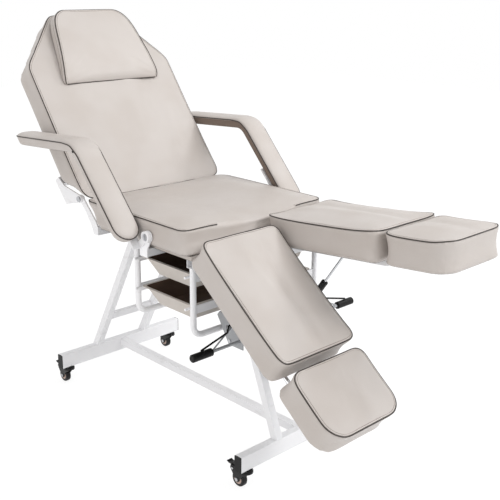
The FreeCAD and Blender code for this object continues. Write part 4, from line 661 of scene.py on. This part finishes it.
def arm_rings():
    """A wrapped arm: a tapered band below its piping and a rounded crown above it."""
    levels = [(0.016, 0.0), (0.007, 0.0008), (0.0035, 0.005), (0.0015, 0.016),
              (0.0004, ARM_DEPTH - 0.003), (0.0, ARM_DEPTH), (0.0012, ARM_DEPTH + 0.003),
              (0.006, ARM_DEPTH + ARM_CROWN * 0.56), (0.014, ARM_DEPTH + ARM_CROWN * 0.82),
              (0.024, ARM_DEPTH + ARM_CROWN * 0.95), (0.034, ARM_DEPTH + ARM_CROWN)]
    rings = []
    for inset, height in levels:
        flat = rounded_ring(ARM_OUTLINE, inset)
        bow = BOW_DRAW * (1 - min(height / ARM_DEPTH, 1.0)) ** 2
        flat[:, 1] += bow * np.clip(1 - flat[:, 1] / BOW_LENGTH, 0, 1)
        rings.append(at_height(flat, height))
    return rings


PILLOW_LOW, PILLOW_HIGH = 0.352, 0.627
PILLOW_HALF_LOW, PILLOW_HALF_HIGH = 0.200, 0.154
PILLOW_BASE = CROWN + 0.0003
PILLOW_TOP_REACH = 0.106
PILLOW_STATIONS = [0.0, 0.03, 0.09, 0.2, 0.32, 0.5, 0.70, 0.82, 0.90, 0.955, 0.985, 1.0]
PILLOW_HEIGHTS = [0.009, 0.0165, 0.0245, 0.0315, 0.0365, 0.0400, 0.0415, 0.0410, 0.0400, 0.0385,
                  0.0370, 0.0350]
PILLOW_TUCKS = [0.006, 0.0025, 0.0, 0.0, 0.0, 0.0, 0.0, 0.003, 0.010, 0.021, 0.033, 0.047]
PILLOW = [(PILLOW_HALF_LOW + (PILLOW_HALF_HIGH - PILLOW_HALF_LOW) * share - tuck,
           PILLOW_LOW + (PILLOW_HIGH - PILLOW_LOW) * share, height)
          for share, height, tuck in zip(PILLOW_STATIONS, PILLOW_HEIGHTS, PILLOW_TUCKS)]


def pillow_rings():
    """Rounded cross sections up the pillow: thin at its foot and deepest near its top."""
    rings = []
    for half, up, height in PILLOW:
        top = height * 0.97
        section = rounded_ring([(-half, 0.0, top * 0.2), (half, 0.0, top * 0.2),
                                (half, top, top * 0.34), (-half, top, top * 0.34)], 0.0)
        rings.append(np.array([(u, up, PILLOW_BASE + w) for u, w in section]))
    return rings


def pillow_seam():
    """The open line of the pillow's piping: up one side, over the top and down the other."""
    left = [(0.003 - half, up, PILLOW_BASE + height - 0.003) for half, up, height in PILLOW]
    across = [(x, PILLOW_HIGH + 0.0005, PILLOW_BASE + PILLOW_HEIGHTS[-1] - 0.004)
              for x in np.linspace(-PILLOW_TOP_REACH, PILLOW_TOP_REACH, 15)]
    right = [(-u, v, w) for u, v, w in reversed(left)]
    return np.array(left[:-1] + across + right[1:])


FORMS = {
    "seat": cushion(seat_corners, SEAT_THICKNESS, 0.0080),
    "back": cushion(back_corners, PAD_THICKNESS, 0.0090),
    "calf": cushion(calf_corners, PAD_THICKNESS, 0.0070),
    "foot": cushion(foot_corners, PAD_THICKNESS, 0.0070),
    "arm": (arm_rings(), 0.0050, at_height(rounded_ring(ARM_OUTLINE, 0.0), ARM_DEPTH)),
    "pillow": (pillow_rings(), 0.0060, pillow_seam()),
}
pads = {name: remeshed(name + "_form", rings, voxel)
        for name, (rings, voxel, seam) in FORMS.items()}
SEAMS = {name: form[2] for name, form in FORMS.items()}
print("pad grids:", {name: len(pad.data.polygons) for name, pad in pads.items()})

# %% Air in the pads, while their seams hold
HOLD_REACH = 0.0075
UNDERSIDE = 0.004       # a pad keeps still and even this close to its underside
HOLD_BELOW = {"arm": ARM_DEPTH}
AIR_FRAMES = 20
CLOTH = {"quality": 5, "mass": 0.3, "tension_stiffness": 12, "compression_stiffness": 12,
         "shear_stiffness": 6, "bending_stiffness": 0.4, "use_pressure": True,
         "uniform_pressure_force": 4.0, "vertex_group_mass": "held"}
MOST_SWELL = {"seat": 0.0065, "back": 0.0065, "calf": 0.0060, "foot": 0.0060, "arm": 0.0030,
              "pillow": 0.0065}
SWELL_RAMP = 0.045


def seam_gaps(name, coords):
    """Each point's distance from a pad's seam."""
    line = SEAMS[name]
    closed = name != "pillow"
    starts = line if closed else line[:-1]
    ends = np.roll(line, -1, axis=0) if closed else line[1:]
    best = np.full(len(coords), 1e9)
    for a, b in zip(starts, ends):
        way = b - a
        length = max(float(way @ way), 1e-12)
        t = np.clip((coords - a) @ way / length, 0, 1)
        best = np.minimum(best, np.linalg.norm(coords - a - t[:, None] * way, axis=1))
    return best


def add_air(piece, held):
    group = piece.vertex_groups.new(name="held")
    group.add([int(i) for i in np.nonzero(held)[0]], 1.0, "REPLACE")
    cloth = piece.modifiers.new("air", "CLOTH")
    for key, value in CLOTH.items():
        setattr(cloth.settings, key, value)
    cloth.settings.effector_weights.gravity = 0
    cloth.collision_settings.use_collision = False
    cloth.point_cache.frame_end = AIR_FRAMES


before = {name: coords_of(pad.data) for name, pad in pads.items()}
gaps = {name: seam_gaps(name, coords) for name, coords in before.items()}
for name, pad in pads.items():
    height = before[name][:, 2] - before[name][:, 2].min()
    add_air(pad, (gaps[name] < HOLD_REACH) | (height < HOLD_BELOW.get(name, UNDERSIDE)))
for step in range(1, AIR_FRAMES + 1):
    scene.frame_set(step)
for name, pad in pads.items():
    baked(pad)
    pad.vertex_groups.clear()
    moved = coords_of(pad.data) - before[name]
    size = np.linalg.norm(moved, axis=1)
    most = MOST_SWELL[name]
    keep = most * np.tanh(size / most) / np.maximum(size, 1e-9)
    keep *= 1 - np.exp(-gaps[name] / SWELL_RAMP)
    put_coords(pad.data, before[name] + moved * keep[:, None])
    print(name, "swelled by up to", round(float((size * keep).max()) * 1000, 1), "mm")
scene.frame_set(1)

# %% [markdown]
# ## Hands on the foam
# Real covers are never quite even: broad soft waves show in the highlights, and small
# puckers run in from the seams where the cover is pulled tight. After the simulation the
# squares are divided once more and each point is moved a little, by smooth noise.
# %% Waves, puckers and the seat's hollow
WAVE = 0.0010
RIDGE = {"calf": 0.0036, "back": 0.0036, "seat": 0.0022, "foot": 0.0022, "pillow": 0.0014}
PUCKER = 0.0009
# Long soft folds in the cover: height, place across, half width, drift along the pad.
FOLDS = {"calf": [(0.0034, -0.022, 0.026, 0.010), (-0.0040, 0.038, 0.021, 0.012)],
         "foot": [(0.0026, -0.030, 0.028, 0.006), (-0.0034, 0.032, 0.020, 0.008)],
         "back": [(0.0032, 0.060, 0.045, 0.020), (-0.0036, 0.150, 0.035, 0.016)]}
PUCKER_START, PUCKER_REACH = 0.006, 0.020
SEAM_CALM = 0.012       # this close to its seam the cover grows even
LIFT_SOFT = 0.010       # over this height the unevenness fades in above the underside
# On the arms the band of painted shade takes the place of the dust cloth, up to this height and
# on the inner face.
DUST_RIM = 0.0025       # the dust cloth shows up to this height
FOLD_END = 0.055        # a fold fades out this far from the seam
FOLD_TURN = 11.0
SEAT_DIP = 0.014
SEAT_DIP_HALF = 0.215
SEAT_DIP_REAR = (0.13, 0.32)
SEAT_DIP_LEFT = 0.15


def handled(name, pad, seed):
    """Add the cover's unevenness and mark the dust cloth on the underside; on the arms the mark
    takes the underside and the inner face, for the band of painted shade.
    """
    pad.modifiers.new("finer", "SUBSURF").levels = 1
    mesh = baked(pad).data
    coords = coords_of(mesh)
    normals = coords_of(mesh, "normal")
    seam_gap = seam_gaps(name, coords)
    floor = coords[:, 2].min()
    lift = np.clip((coords[:, 2] - floor - UNDERSIDE) / LIFT_SOFT, 0, 1)
    shift = np.empty(len(coords))
    for i, point in enumerate(coords):
        spot = Vector(point) + Vector((seed, 0, 0))
        wave = noise.noise(spot * 7.0) * 0.7 + noise.noise(spot * 15.0) * 0.3
        fold = noise.noise(Vector((spot.x * 46, spot.y * 46, spot.z * 12)))
        near = math.exp(-seam_gap[i] / PUCKER_REACH) * min(seam_gap[i] / PUCKER_START, 1.0)
        ridge = noise.noise(Vector((spot.x * 10.0, spot.y * 2.3, 0.5)))
        shift[i] = WAVE * wave + RIDGE.get(name, 0.0) * ridge + PUCKER * fold * near
    seam_calm = np.clip(seam_gap / SEAM_CALM, 0, 1)
    upward = np.clip((normals[:, 2] - 0.5) / 0.3, 0, 1) * np.clip(seam_gap / FOLD_END, 0, 1)
    for height, across, half_width, drift in FOLDS.get(name, []):
        middle = across + drift * np.sin(coords[:, 1] * FOLD_TURN + across * 40)
        shift += upward * height * np.exp(-((coords[:, 0] - middle) / half_width) ** 2)
    coords = coords + normals * (shift * lift * seam_calm)[:, None]
    under = coords[:, 2] < floor + DUST_RIM
    # On the arms the inner face below the piping is marked too, for the band of painted shade.
    if name == "arm":
        under |= (coords[:, 0] < -ARM_INNER_FACE) & (coords[:, 2] < ARM_DEPTH - DUST_RIM)
    mark = mesh.attributes.new("under", "FLOAT", "POINT")
    mark.data.foreach_set("value", under.astype(np.float32))
    put_coords(mesh, coords)


# How far the corners rise; the middle and the half length of the long edges; half width.
EARS = {"calf": (0.0045, -0.2125, 0.2125, 0.148), "foot": (0.0045, -0.108, 0.108, 0.144),
        "back": (0.003, 0.29, 0.35, 0.295)}


def eared(name, coords):
    """Raise a pad's corners a little and let the middle of its long edges sag."""
    if name not in EARS:
        return coords
    lift, middle, half_length, half_width = EARS[name]
    coords = coords.copy()
    along = np.clip(np.abs(coords[:, 1] - middle) / half_length, 0, 1)
    across = np.clip(np.abs(coords[:, 0]) / half_width, 0, 1)
    high = np.clip((coords[:, 2] - 0.03) / 0.05, 0, 1)
    coords[:, 2] += lift * high * across ** 6 * (1.8 * along ** 5 - 0.8 * (1 - along ** 2))
    return coords


def dip(coords):
    """Press the middle of the seat down, most at its face and not at all below."""
    across = np.clip(np.abs(coords[:, 0]) / SEAT_DIP_HALF, 0, 1)
    hollow = SEAT_DIP * np.cos(across * math.pi / 2) ** 2
    back = (coords[:, 1] - SEAT_DIP_REAR[0]) / (SEAT_DIP_REAR[1] - SEAT_DIP_REAR[0])
    back = np.clip(back, 0, 1)
    hollow *= 1 - (1 - SEAT_DIP_LEFT) * back * back * (3 - 2 * back)
    height = np.clip((coords[:, 2] - 0.034) / 0.034, 0, 1)
    coords = coords.copy()
    coords[:, 2] -= hollow * height * height * (3 - 2 * height)
    return coords


for seed, (name, pad) in enumerate(pads.items()):
    handled(name, pad, seed * 3.7)
    put_coords(pad.data, eared(name, coords_of(pad.data)))
    SEAMS[name] = eared(name, SEAMS[name])
put_coords(pads["seat"].data, dip(coords_of(pads["seat"].data)))
SEAMS["seat"] = dip(SEAMS["seat"])
print("finished forms:", {name: len(pad.data.polygons) for name, pad in pads.items()})

# %% [markdown]
# ## Laying the pads on the chair
# A pad's own frame has its width along u, its length along v and its height along w. Each
# is carried to the chair by an origin and two directions. The leg rests' directions come
# from the frame's own joints, so they stay right if the chair's rest pose changes.
# %% Frames of the pads
SHIFT_Y = 0.0061        # from the drawing's frame to the chair's
SEAT_BOTTOM = 0.682
PAD_DROP = 0.0125       # from the knee pin down to the underside of a leg pad
CALF_START = -0.011
FOOT_START = {"right": 0.433, "left": 0.424}
X_WAY = Vector((1, 0, 0))
BACK_UP = Vector((0, math.cos(BACK_TILT), math.sin(BACK_TILT)))
joints = {joint["name"]: joint for joint in frame["joints"]}


def frame_matrix(origin, along):
    up = X_WAY.cross(along)
    turn = Matrix((X_WAY, along, up)).transposed().to_4x4()
    return Matrix.Translation(origin) @ turn


def leg_frame(side, start):
    """The frame of a leg pad that starts some way out from the knee pin."""
    knee = Vector(joints["calf_swing_" + side]["pos_m"])
    out = Vector(joints["foot_slide_" + side]["axis"]).normalized()
    along = -out
    up = X_WAY.cross(along)
    return frame_matrix(knee + out * start - up * PAD_DROP, along)


def carried(coords, matrix):
    turn = np.array(matrix.to_3x3())
    return coords @ turn.T + np.array(matrix.translation)


# %% The bend of the arms
ARM_TIP = np.array((0.598 + SHIFT_Y, 0.9414))
ARM_BEND = np.array((0.240 + SHIFT_Y, 0.963))
ARM_END = np.array((0.0086 + SHIFT_Y, 0.7087))
ARM_BEND_RADIUS = 0.080
ARM_MIDDLE_X = 0.349


def arm_place(side_sign, coords):
    """Bend a flat arm: v runs from its tip, over the bend, down to its end."""
    top = ARM_BEND - ARM_TIP
    slope = ARM_END - ARM_BEND
    top_length, slope_length = np.linalg.norm(top), np.linalg.norm(slope)
    top, slope = top / top_length, slope / slope_length
    turn = math.acos(float(top @ slope))
    tangent = ARM_BEND_RADIUS * math.tan(turn / 2)
    first = top_length - tangent
    arc = ARM_BEND_RADIUS * turn
    total = first + arc + slope_length - tangent
    along = coords[:, 1] / ARM_LENGTH * total
    rise = coords[:, 2] - ARM_DEPTH
    angle = np.clip((along - first) / arc, 0, 1) * turn
    start_angle = math.atan2(top[1], top[0])
    way_angle = start_angle + angle
    way = np.column_stack([np.cos(way_angle), np.sin(way_angle)])
    normal = np.column_stack([way[:, 1], -way[:, 0]])
    centre = ARM_TIP + top * first - np.array((top[1], -top[0])) * ARM_BEND_RADIUS
    on_arc = centre + normal * ARM_BEND_RADIUS
    before_arc = ARM_TIP + top * np.minimum(along, first)[:, None]
    past = np.maximum(along - first - arc, 0)[:, None]
    line = np.where((along < first)[:, None], before_arc, on_arc + way * past)
    flat = line + normal * rise[:, None]
    x = side_sign * (ARM_MIDDLE_X + coords[:, 0])
    return np.column_stack([x, flat])


# %% Place every pad and its seam
SIDES = {"right": -1, "left": 1}
placed = {}


def lay(name, form, move, body, *nodes):
    """A copy of a form, moved to its place, riding on a body and standing for its nodes."""
    mesh = pads[form].data.copy()
    mesh.name = name
    put_coords(mesh, move(coords_of(mesh)))
    if name == "arm_upholstery_left":
        mesh.flip_normals()
    piece = piece_of(mesh, ARM_LEATHER if form == "arm" else UPHOLSTERY)
    placed[name] = (piece, move(SEAMS[form]), body, form)
    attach(piece, body)
    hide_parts(*nodes)


def by_matrix(matrix):
    return lambda coords: carried(coords, matrix)


seat_frame = frame_matrix(Vector((0, SHIFT_Y, SEAT_BOTTOM)), Vector((0, 1, 0)))
back_frame = frame_matrix(BACK_AT - BACK_OUT * PAD_THICKNESS, BACK_UP)
lay("seat_upholstery", "seat", by_matrix(seat_frame), "chair_base", "seat_cushion")
lay("back_upholstery", "back", by_matrix(back_frame), "backrest", "back_cushion")
lay("headrest_upholstery", "pillow", by_matrix(frame_matrix(BACK_AT, BACK_UP)), "headrest",
    "headrest_pillow")
for side, sign in SIDES.items():
    lay("calf_upholstery_" + side, "calf", by_matrix(leg_frame(side, CALF_START)),
        "calf_rest_" + side, "calf_pad_" + side)
    lay("foot_upholstery_" + side, "foot", by_matrix(leg_frame(side, FOOT_START[side])),
        "foot_rest_" + side, "foot_pad_" + side)
    lay("arm_upholstery_" + side, "arm", lambda coords: arm_place(sign, coords),
        "arm_" + side, "arm_pad_" + side, "arm_board_" + side)
for form in pads.values():
    bpy.data.objects.remove(form)
print("laid", len(placed), "pads")

# %% [markdown]
# ## Piping along the seams
# A dark cord is sewn into each seam, with a narrow pale welt beside it, painted lighter as a
# highlight, and a thin dark line inside that stands for the shade of the stitching's groove.
# Along the pillow's foot a dark cord is painted shadow where the pillow meets the back. A cord is
# a circle swept along a path, which is exactly what Curve to Mesh does, so one small node tree
# makes all of them: it takes a path of edges and sweeps a round profile along it.
# %% The cord tree
class Tree(Nodes):
    """Builds one Geometry Nodes tree that works along a path and has named inputs."""

    def __init__(self, name, **inputs):
        self.tree = bpy.data.node_groups.new(name, "GeometryNodeTree")
        face = self.tree.interface
        self.sockets = {
            label: face.new_socket(name=label, in_out="INPUT",
                                   socket_type="NodeSocket" + kind).identifier
            for label, kind in {"Geometry": "Geometry", **inputs, "Material": "Material"}.items()}
        face.new_socket(name="Geometry", in_out="OUTPUT", socket_type="NodeSocketGeometry")
        self.start = self.tree.nodes.new("NodeGroupInput")
        self.path = self.node("GeometryNodeMeshToCurve", values={"Mesh": self.get("Geometry")})

    def get(self, label):
        return Signal(self, self.start.outputs[label])

    def close(self, geometry):
        solid = self.node("GeometryNodeRealizeInstances", values={0: geometry})
        painted = self.node("GeometryNodeSetMaterial", values={
            "Geometry": solid, "Material": self.get("Material")})
        self.feed(self.tree.nodes.new("NodeGroupOutput").inputs[0], painted)

    def make(self, name, lines, slot, body, **values):
        """Run the tree along lines and keep the result as a plain piece on a body."""
        piece = bpy.data.objects.new(name, path_mesh(name, lines))
        scene.collection.objects.link(piece)
        modifier = piece.modifiers.new(self.tree.name, "NODES")
        modifier.node_group = self.tree
        for label, value in values.items():
            modifier[self.sockets[label]] = value
        baked(piece)
        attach(piece, body)


def cord_tree():
    tree = Tree("cord along a path", Radius="Float", Sides="Int")
    profile = tree.node("GeometryNodeCurvePrimitiveCircle", values={
        "Resolution": tree.get("Sides"), "Radius": tree.get("Radius")})
    tube = tree.node("GeometryNodeCurveToMesh", values={
        "Curve": tree.path, "Profile Curve": profile, "Fill Caps": True})
    tree.close(tree.node("GeometryNodeSetShadeSmooth", values={"Geometry": tube}))
    return tree


CORD = cord_tree()
print("cord tree:", len(CORD.tree.nodes), "nodes")

# %% Paths for the cords
CORD_RADIUS = 0.0018
CORD_RAISED = 0.0016
CORD_LIFT, ARM_CORD_LIFT = 0.0004, 0.0016
WELT_RADIUS = 0.0027
WELT_INSET = 0.0050
STITCH_RADIUS = 0.0007
STITCH_INSET = 0.0085
GUSSET_DROP = 0.011
WELT_LINES = [("welt", WELT_INSET, WELT_RADIUS, -0.0012, WELT),
              ("stitch_groove_shade", STITCH_INSET, STITCH_RADIUS, 0.0, GROOVE_SHADE_LINE)]
SEAM_SPACING = 0.006
BARE_HALF = 0.165       # the seat has no piping nearer to its middle than this


def evenly(line, closed):
    """The same line with evenly spaced points."""
    full = np.vstack([line, line[:1]]) if closed else line
    gaps = np.linalg.norm(np.diff(full, axis=0), axis=1)
    reach = np.concatenate([[0], np.cumsum(gaps)])
    count = max(int(reach[-1] / SEAM_SPACING), 4)
    at = np.linspace(0, reach[-1], count + 1)
    even = np.column_stack([np.interp(at, reach, full[:, k]) for k in range(3)])
    return even[:-1] if closed else even


def settled(line, piece, lift, closed):
    """Drop a line onto a pad's surface, then smooth out the small steps."""
    bm = bmesh.new()
    bm.from_mesh(piece.data)
    tree = BVHTree.FromBMesh(bm)
    bm.free()
    spots = []
    for point in line:
        spot, normal, _, _ = tree.find_nearest(Vector(point))
        spots.append(np.array(spot + normal * lift))
    spots = np.array(spots)
    for _ in range(3):
        middle = (np.roll(spots, 1, axis=0) + np.roll(spots, -1, axis=0)) / 2
        if not closed:
            middle[0], middle[-1] = spots[0], spots[-1]
        spots = (spots + middle) / 2
    return spots


def path_mesh(name, lines):
    """Edges along one or more lines, each (points, closed)."""
    points, edges = [], []
    for line, closed in lines:
        first = len(points)
        points += [tuple(p) for p in line]
        edges += [(first + i, first + i + 1) for i in range(len(line) - 1)]
        if closed:
            edges.append((first + len(line) - 1, first))
    mesh = bpy.data.meshes.new(name)
    mesh.from_pydata(points, edges, [])
    return mesh


def sides_only(line):
    """The seat's piping: along both sides, round the corners and a short way across."""
    keep = np.abs(line[:, 0]) > BARE_HALF
    runs, run = [], []
    for i in range(2 * len(line)):
        j = i % len(line)
        if keep[j]:
            run.append(line[j])
        elif run:
            runs.append(np.array(run))
            run = []
    longest = sorted(runs, key=len)[-2:]
    starts = {tuple(np.round(r[0], 4)): r for r in runs if len(r) >= len(longest[0])}
    return list(starts.values())


def normal_of_pad(name):
    """Which way a pad's face points."""
    if name.startswith(("calf", "foot")):
        side = name.split("_")[-1]
        return np.array(leg_frame(side, 0.0).to_3x3() @ Vector((0, 0, 1)))
    if name.startswith(("back", "headrest")):
        return np.array(BACK_OUT)
    return np.array((0.0, 0.0, 1.0))


def drawn_in(line, middle, face, inset, piece, lift, closed):
    """A line moved inwards over a pad's face and dropped onto it."""
    flat = middle - line
    flat = flat - (flat @ face)[:, None] * face
    flat /= np.maximum(np.linalg.norm(flat, axis=1, keepdims=True), 1e-6)
    return settled(line + flat * inset + face * 0.004, piece, lift, closed)


def make_piping(name):
    """A dark cord on the seam, a pale welt beside it lightened as a painted highlight, and a fine
    dark line of painted shade along the stitching.
    """
    piece, seam, body, form = placed[name]
    closed = form != "pillow"
    line = evenly(seam, closed)
    middle = line.mean(axis=0)
    face = normal_of_pad(name)
    lines = [(run, False) for run in sides_only(line)] if form == "seat" else [(line, closed)]

    def sewn(part, paths, radius, sides, material):
        CORD.make(part + "_" + name, paths, "upholstery", body, Radius=radius, Sides=sides,
                  Material=material)

    lift, raised = (ARM_CORD_LIFT, 0.0) if form == "arm" else (CORD_LIFT, CORD_RAISED)
    cords = [(settled(run, piece, lift, shut) + face * raised, shut) for run, shut in lines]
    # Along the pillow's foot, where it has no seam, a dark cord stands for the shadow between
    # pillow and back: painted shadow.
    if form == "pillow":
        foot = np.linspace(line[-1], line[0], 60)[1:-1]
        cords.append((settled(foot, piece, CORD_LIFT, False), False))
    sewn("piping", cords, CORD_RADIUS, 8, PIPING)
    if form == "pillow":
        # The pillow's gusset line is the same dark line: painted shade along the gusset's seam.
        side_line = settled(line - face * GUSSET_DROP, piece, 0.0, False)
        sewn("gusset_seam", [(side_line, False)], STITCH_RADIUS, 6, GROOVE_SHADE_LINE)
    for part, inset, radius, sink, material in WELT_LINES if form != "arm" else ():
        inner = [(drawn_in(run, middle, face, inset, piece, sink, shut), shut)
                 for run, shut in lines]
        sewn(part, inner, radius, 10, material)


for name in placed:
    make_piping(name)
print("piped", len(placed), "pads")

# %% [markdown]
# ## Staples and screws
# The covers end under the boards, where a row of wire staples holds them. A row is one
# staple repeated at even steps along a path, so the tree turns a path into points and puts
# a short wire on each, lying along the path.
# %% The staple tree
STAPLE_STEP = 0.024
STAPLE_WIRE = 0.0007
STAPLE_LENGTH = 0.011


def staple_tree():
    tree = Tree("staples along a path", Step="Float", Wire="Float", Width="Float")
    points = tree.node("GeometryNodeCurveToPoints", {"mode": "LENGTH"},
                       {"Curve": tree.path, "Length": tree.get("Step")}, "Points")
    wire = tree.node("GeometryNodeMeshCylinder", values={
        "Vertices": 6, "Radius": tree.get("Wire"), "Depth": tree.get("Width")})
    tree.close(tree.node("GeometryNodeInstanceOnPoints", values={
        "Points": points, "Instance": wire,
        "Rotation": Signal(tree, points.socket.node.outputs["Rotation"])}))
    return tree


STAPLES = staple_tree()
ROW_INSET = 0.024
SEAT_BOARD_DEPTH = 0.0121
ROWS = [("seat", seat_corners(0.0), seat_frame, -SEAT_BOARD_DEPTH, "chair_base"),
        ("back", back_corners(0.0), back_frame, -SEAT_BOARD_DEPTH, "backrest")]
for side in SIDES:
    ROWS.append(("calf_" + side, calf_corners(0.0), leg_frame(side, CALF_START), 0.0,
                 "calf_rest_" + side))
    ROWS.append(("foot_" + side, foot_corners(0.0), leg_frame(side, FOOT_START[side]), 0.0,
                 "foot_rest_" + side))
for label, corners, place, height, body in ROWS:
    ring = carried(at_height(rounded_ring(corners, ROW_INSET), height), place)
    STAPLES.make("staples_" + label, [(ring, True)], "zinc_steel", body, Step=STAPLE_STEP,
                 Wire=STAPLE_WIRE, Width=STAPLE_LENGTH, Material=ZINC)
print("staple rows:", len(ROWS))

# %% A screw in each arm's outer band
SCREW_AT = Vector((0.3915, 0.2404, 0.9407))
SCREW_PROFILE = [(0.0001, 0.0004), (0.0012, 0.0006), (0.0018, 0.0016), (0.0028, 0.0014),
                 (0.0037, 0.0008), (0.0040, 0.0), (0.0040, -0.0030), (0.0001, -0.0030)]
SCREW_TURNS = np.linspace(0, 2 * math.pi, 25)[:-1]
for side, sign in SIDES.items():
    rings = [[(sign * (SCREW_AT.x + height), SCREW_AT.y + radius * math.cos(a),
               SCREW_AT.z + radius * math.sin(a)) for a in SCREW_TURNS]
             for radius, height in SCREW_PROFILE]
    screw = piece_of(ring_mesh("arm_screw_" + side, rings), BLACK_PAINT)
    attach(screw, "arm_" + side)
print("screws in place")

# %% [markdown]
# ## The studio
# The photograph has a plain white ground. The lamps stay at a plain level, so that a
# colour renders about as it is written, and the white ground is a colour that only the
# camera and reflections see. The floor keeps a soft shadow under the chair.
# %% Floor, world and lamps
FLOOR_HALF = 9.0
FLOOR_GLOW = 1.12
FLOOR_GLOW_SHARE = 0.78
AMBIENT = 0.78


def seen_directly(paint):
    """1 for rays from the camera or a mirror, 0 for light on the object."""
    camera, glossy, clear = [paint.node("ShaderNodeLightPath", output="Is %s Ray" % kind)
                             for kind in ("Camera", "Glossy", "Transmission")]
    return camera.math("MAXIMUM", glossy).math("MAXIMUM", clear)


def make_floor():
    paint = Paint("studio floor")
    paint.tree.nodes.remove(paint.shader)
    pale = paint.node("ShaderNodeBsdfDiffuse", values={"Color": (0.90, 0.90, 0.90)})
    glow = paint.node("ShaderNodeEmission", values={
        "Color": (1.0, 1.0, 1.0), "Strength": FLOOR_GLOW})
    mix = paint.node("ShaderNodeMixShader", values={
        0: seen_directly(paint) * FLOOR_GLOW_SHARE, 1: pale, 2: glow})
    paint.feed(paint.tree.nodes["Material Output"].inputs["Surface"], mix)
    corners = [(x * FLOOR_HALF, y * FLOOR_HALF, 0)
               for x, y in ((-1, -1), (1, -1), (1, 1), (-1, 1))]
    floor = piece_of(mesh_of("floor", corners, [(0, 1, 2, 3)]), paint.material, smooth=False)
    floor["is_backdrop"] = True


def make_world(level):
    scene.world = bpy.data.worlds.new("studio")
    paint = Paint("studio", owner=scene.world)
    background = paint.tree.nodes["Background"]
    paint.feed(background.inputs["Color"], (1.0, 1.0, 1.0))
    paint.feed(background.inputs["Strength"], seen_directly(paint) * (1.0 - level) + level)


def make_lamp(name, place, target, size, power, colour=(1.0, 1.0, 1.0)):
    data = bpy.data.lights.new(name, "AREA")
    data.shape = "SQUARE"
    data.size = size
    data.energy = power
    data.color = colour
    lamp = bpy.data.objects.new(name, data)
    lamp.location = place
    lamp.rotation_euler = (Vector(target) - Vector(place)).to_track_quat("-Z", "Y").to_euler()
    scene.collection.objects.link(lamp)


make_floor()
make_world(AMBIENT)
make_lamp("overhead", (0.3, -0.6, 3.4), (0, 0.1, 0.7), 2.0, 13)
make_lamp("front", (1.6, -4.2, 3.3), (0, 0, 0.7), 1.7, 88)
make_lamp("sheen", (2.7, -1.2, 3.3), (0, 0, 0.7), 0.7, 26)
make_lamp("side fill", (-3.4, -0.4, 1.0), (0, 0.1, 0.6), 2.0, 19, (1.0, 0.955, 0.92))
scene.view_settings.view_transform = "Standard"
print("studio ready")

# %% Sizes and the end
low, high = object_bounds()
print("visual box", [round(v, 4) for v in low], [round(v, 4) for v in high])
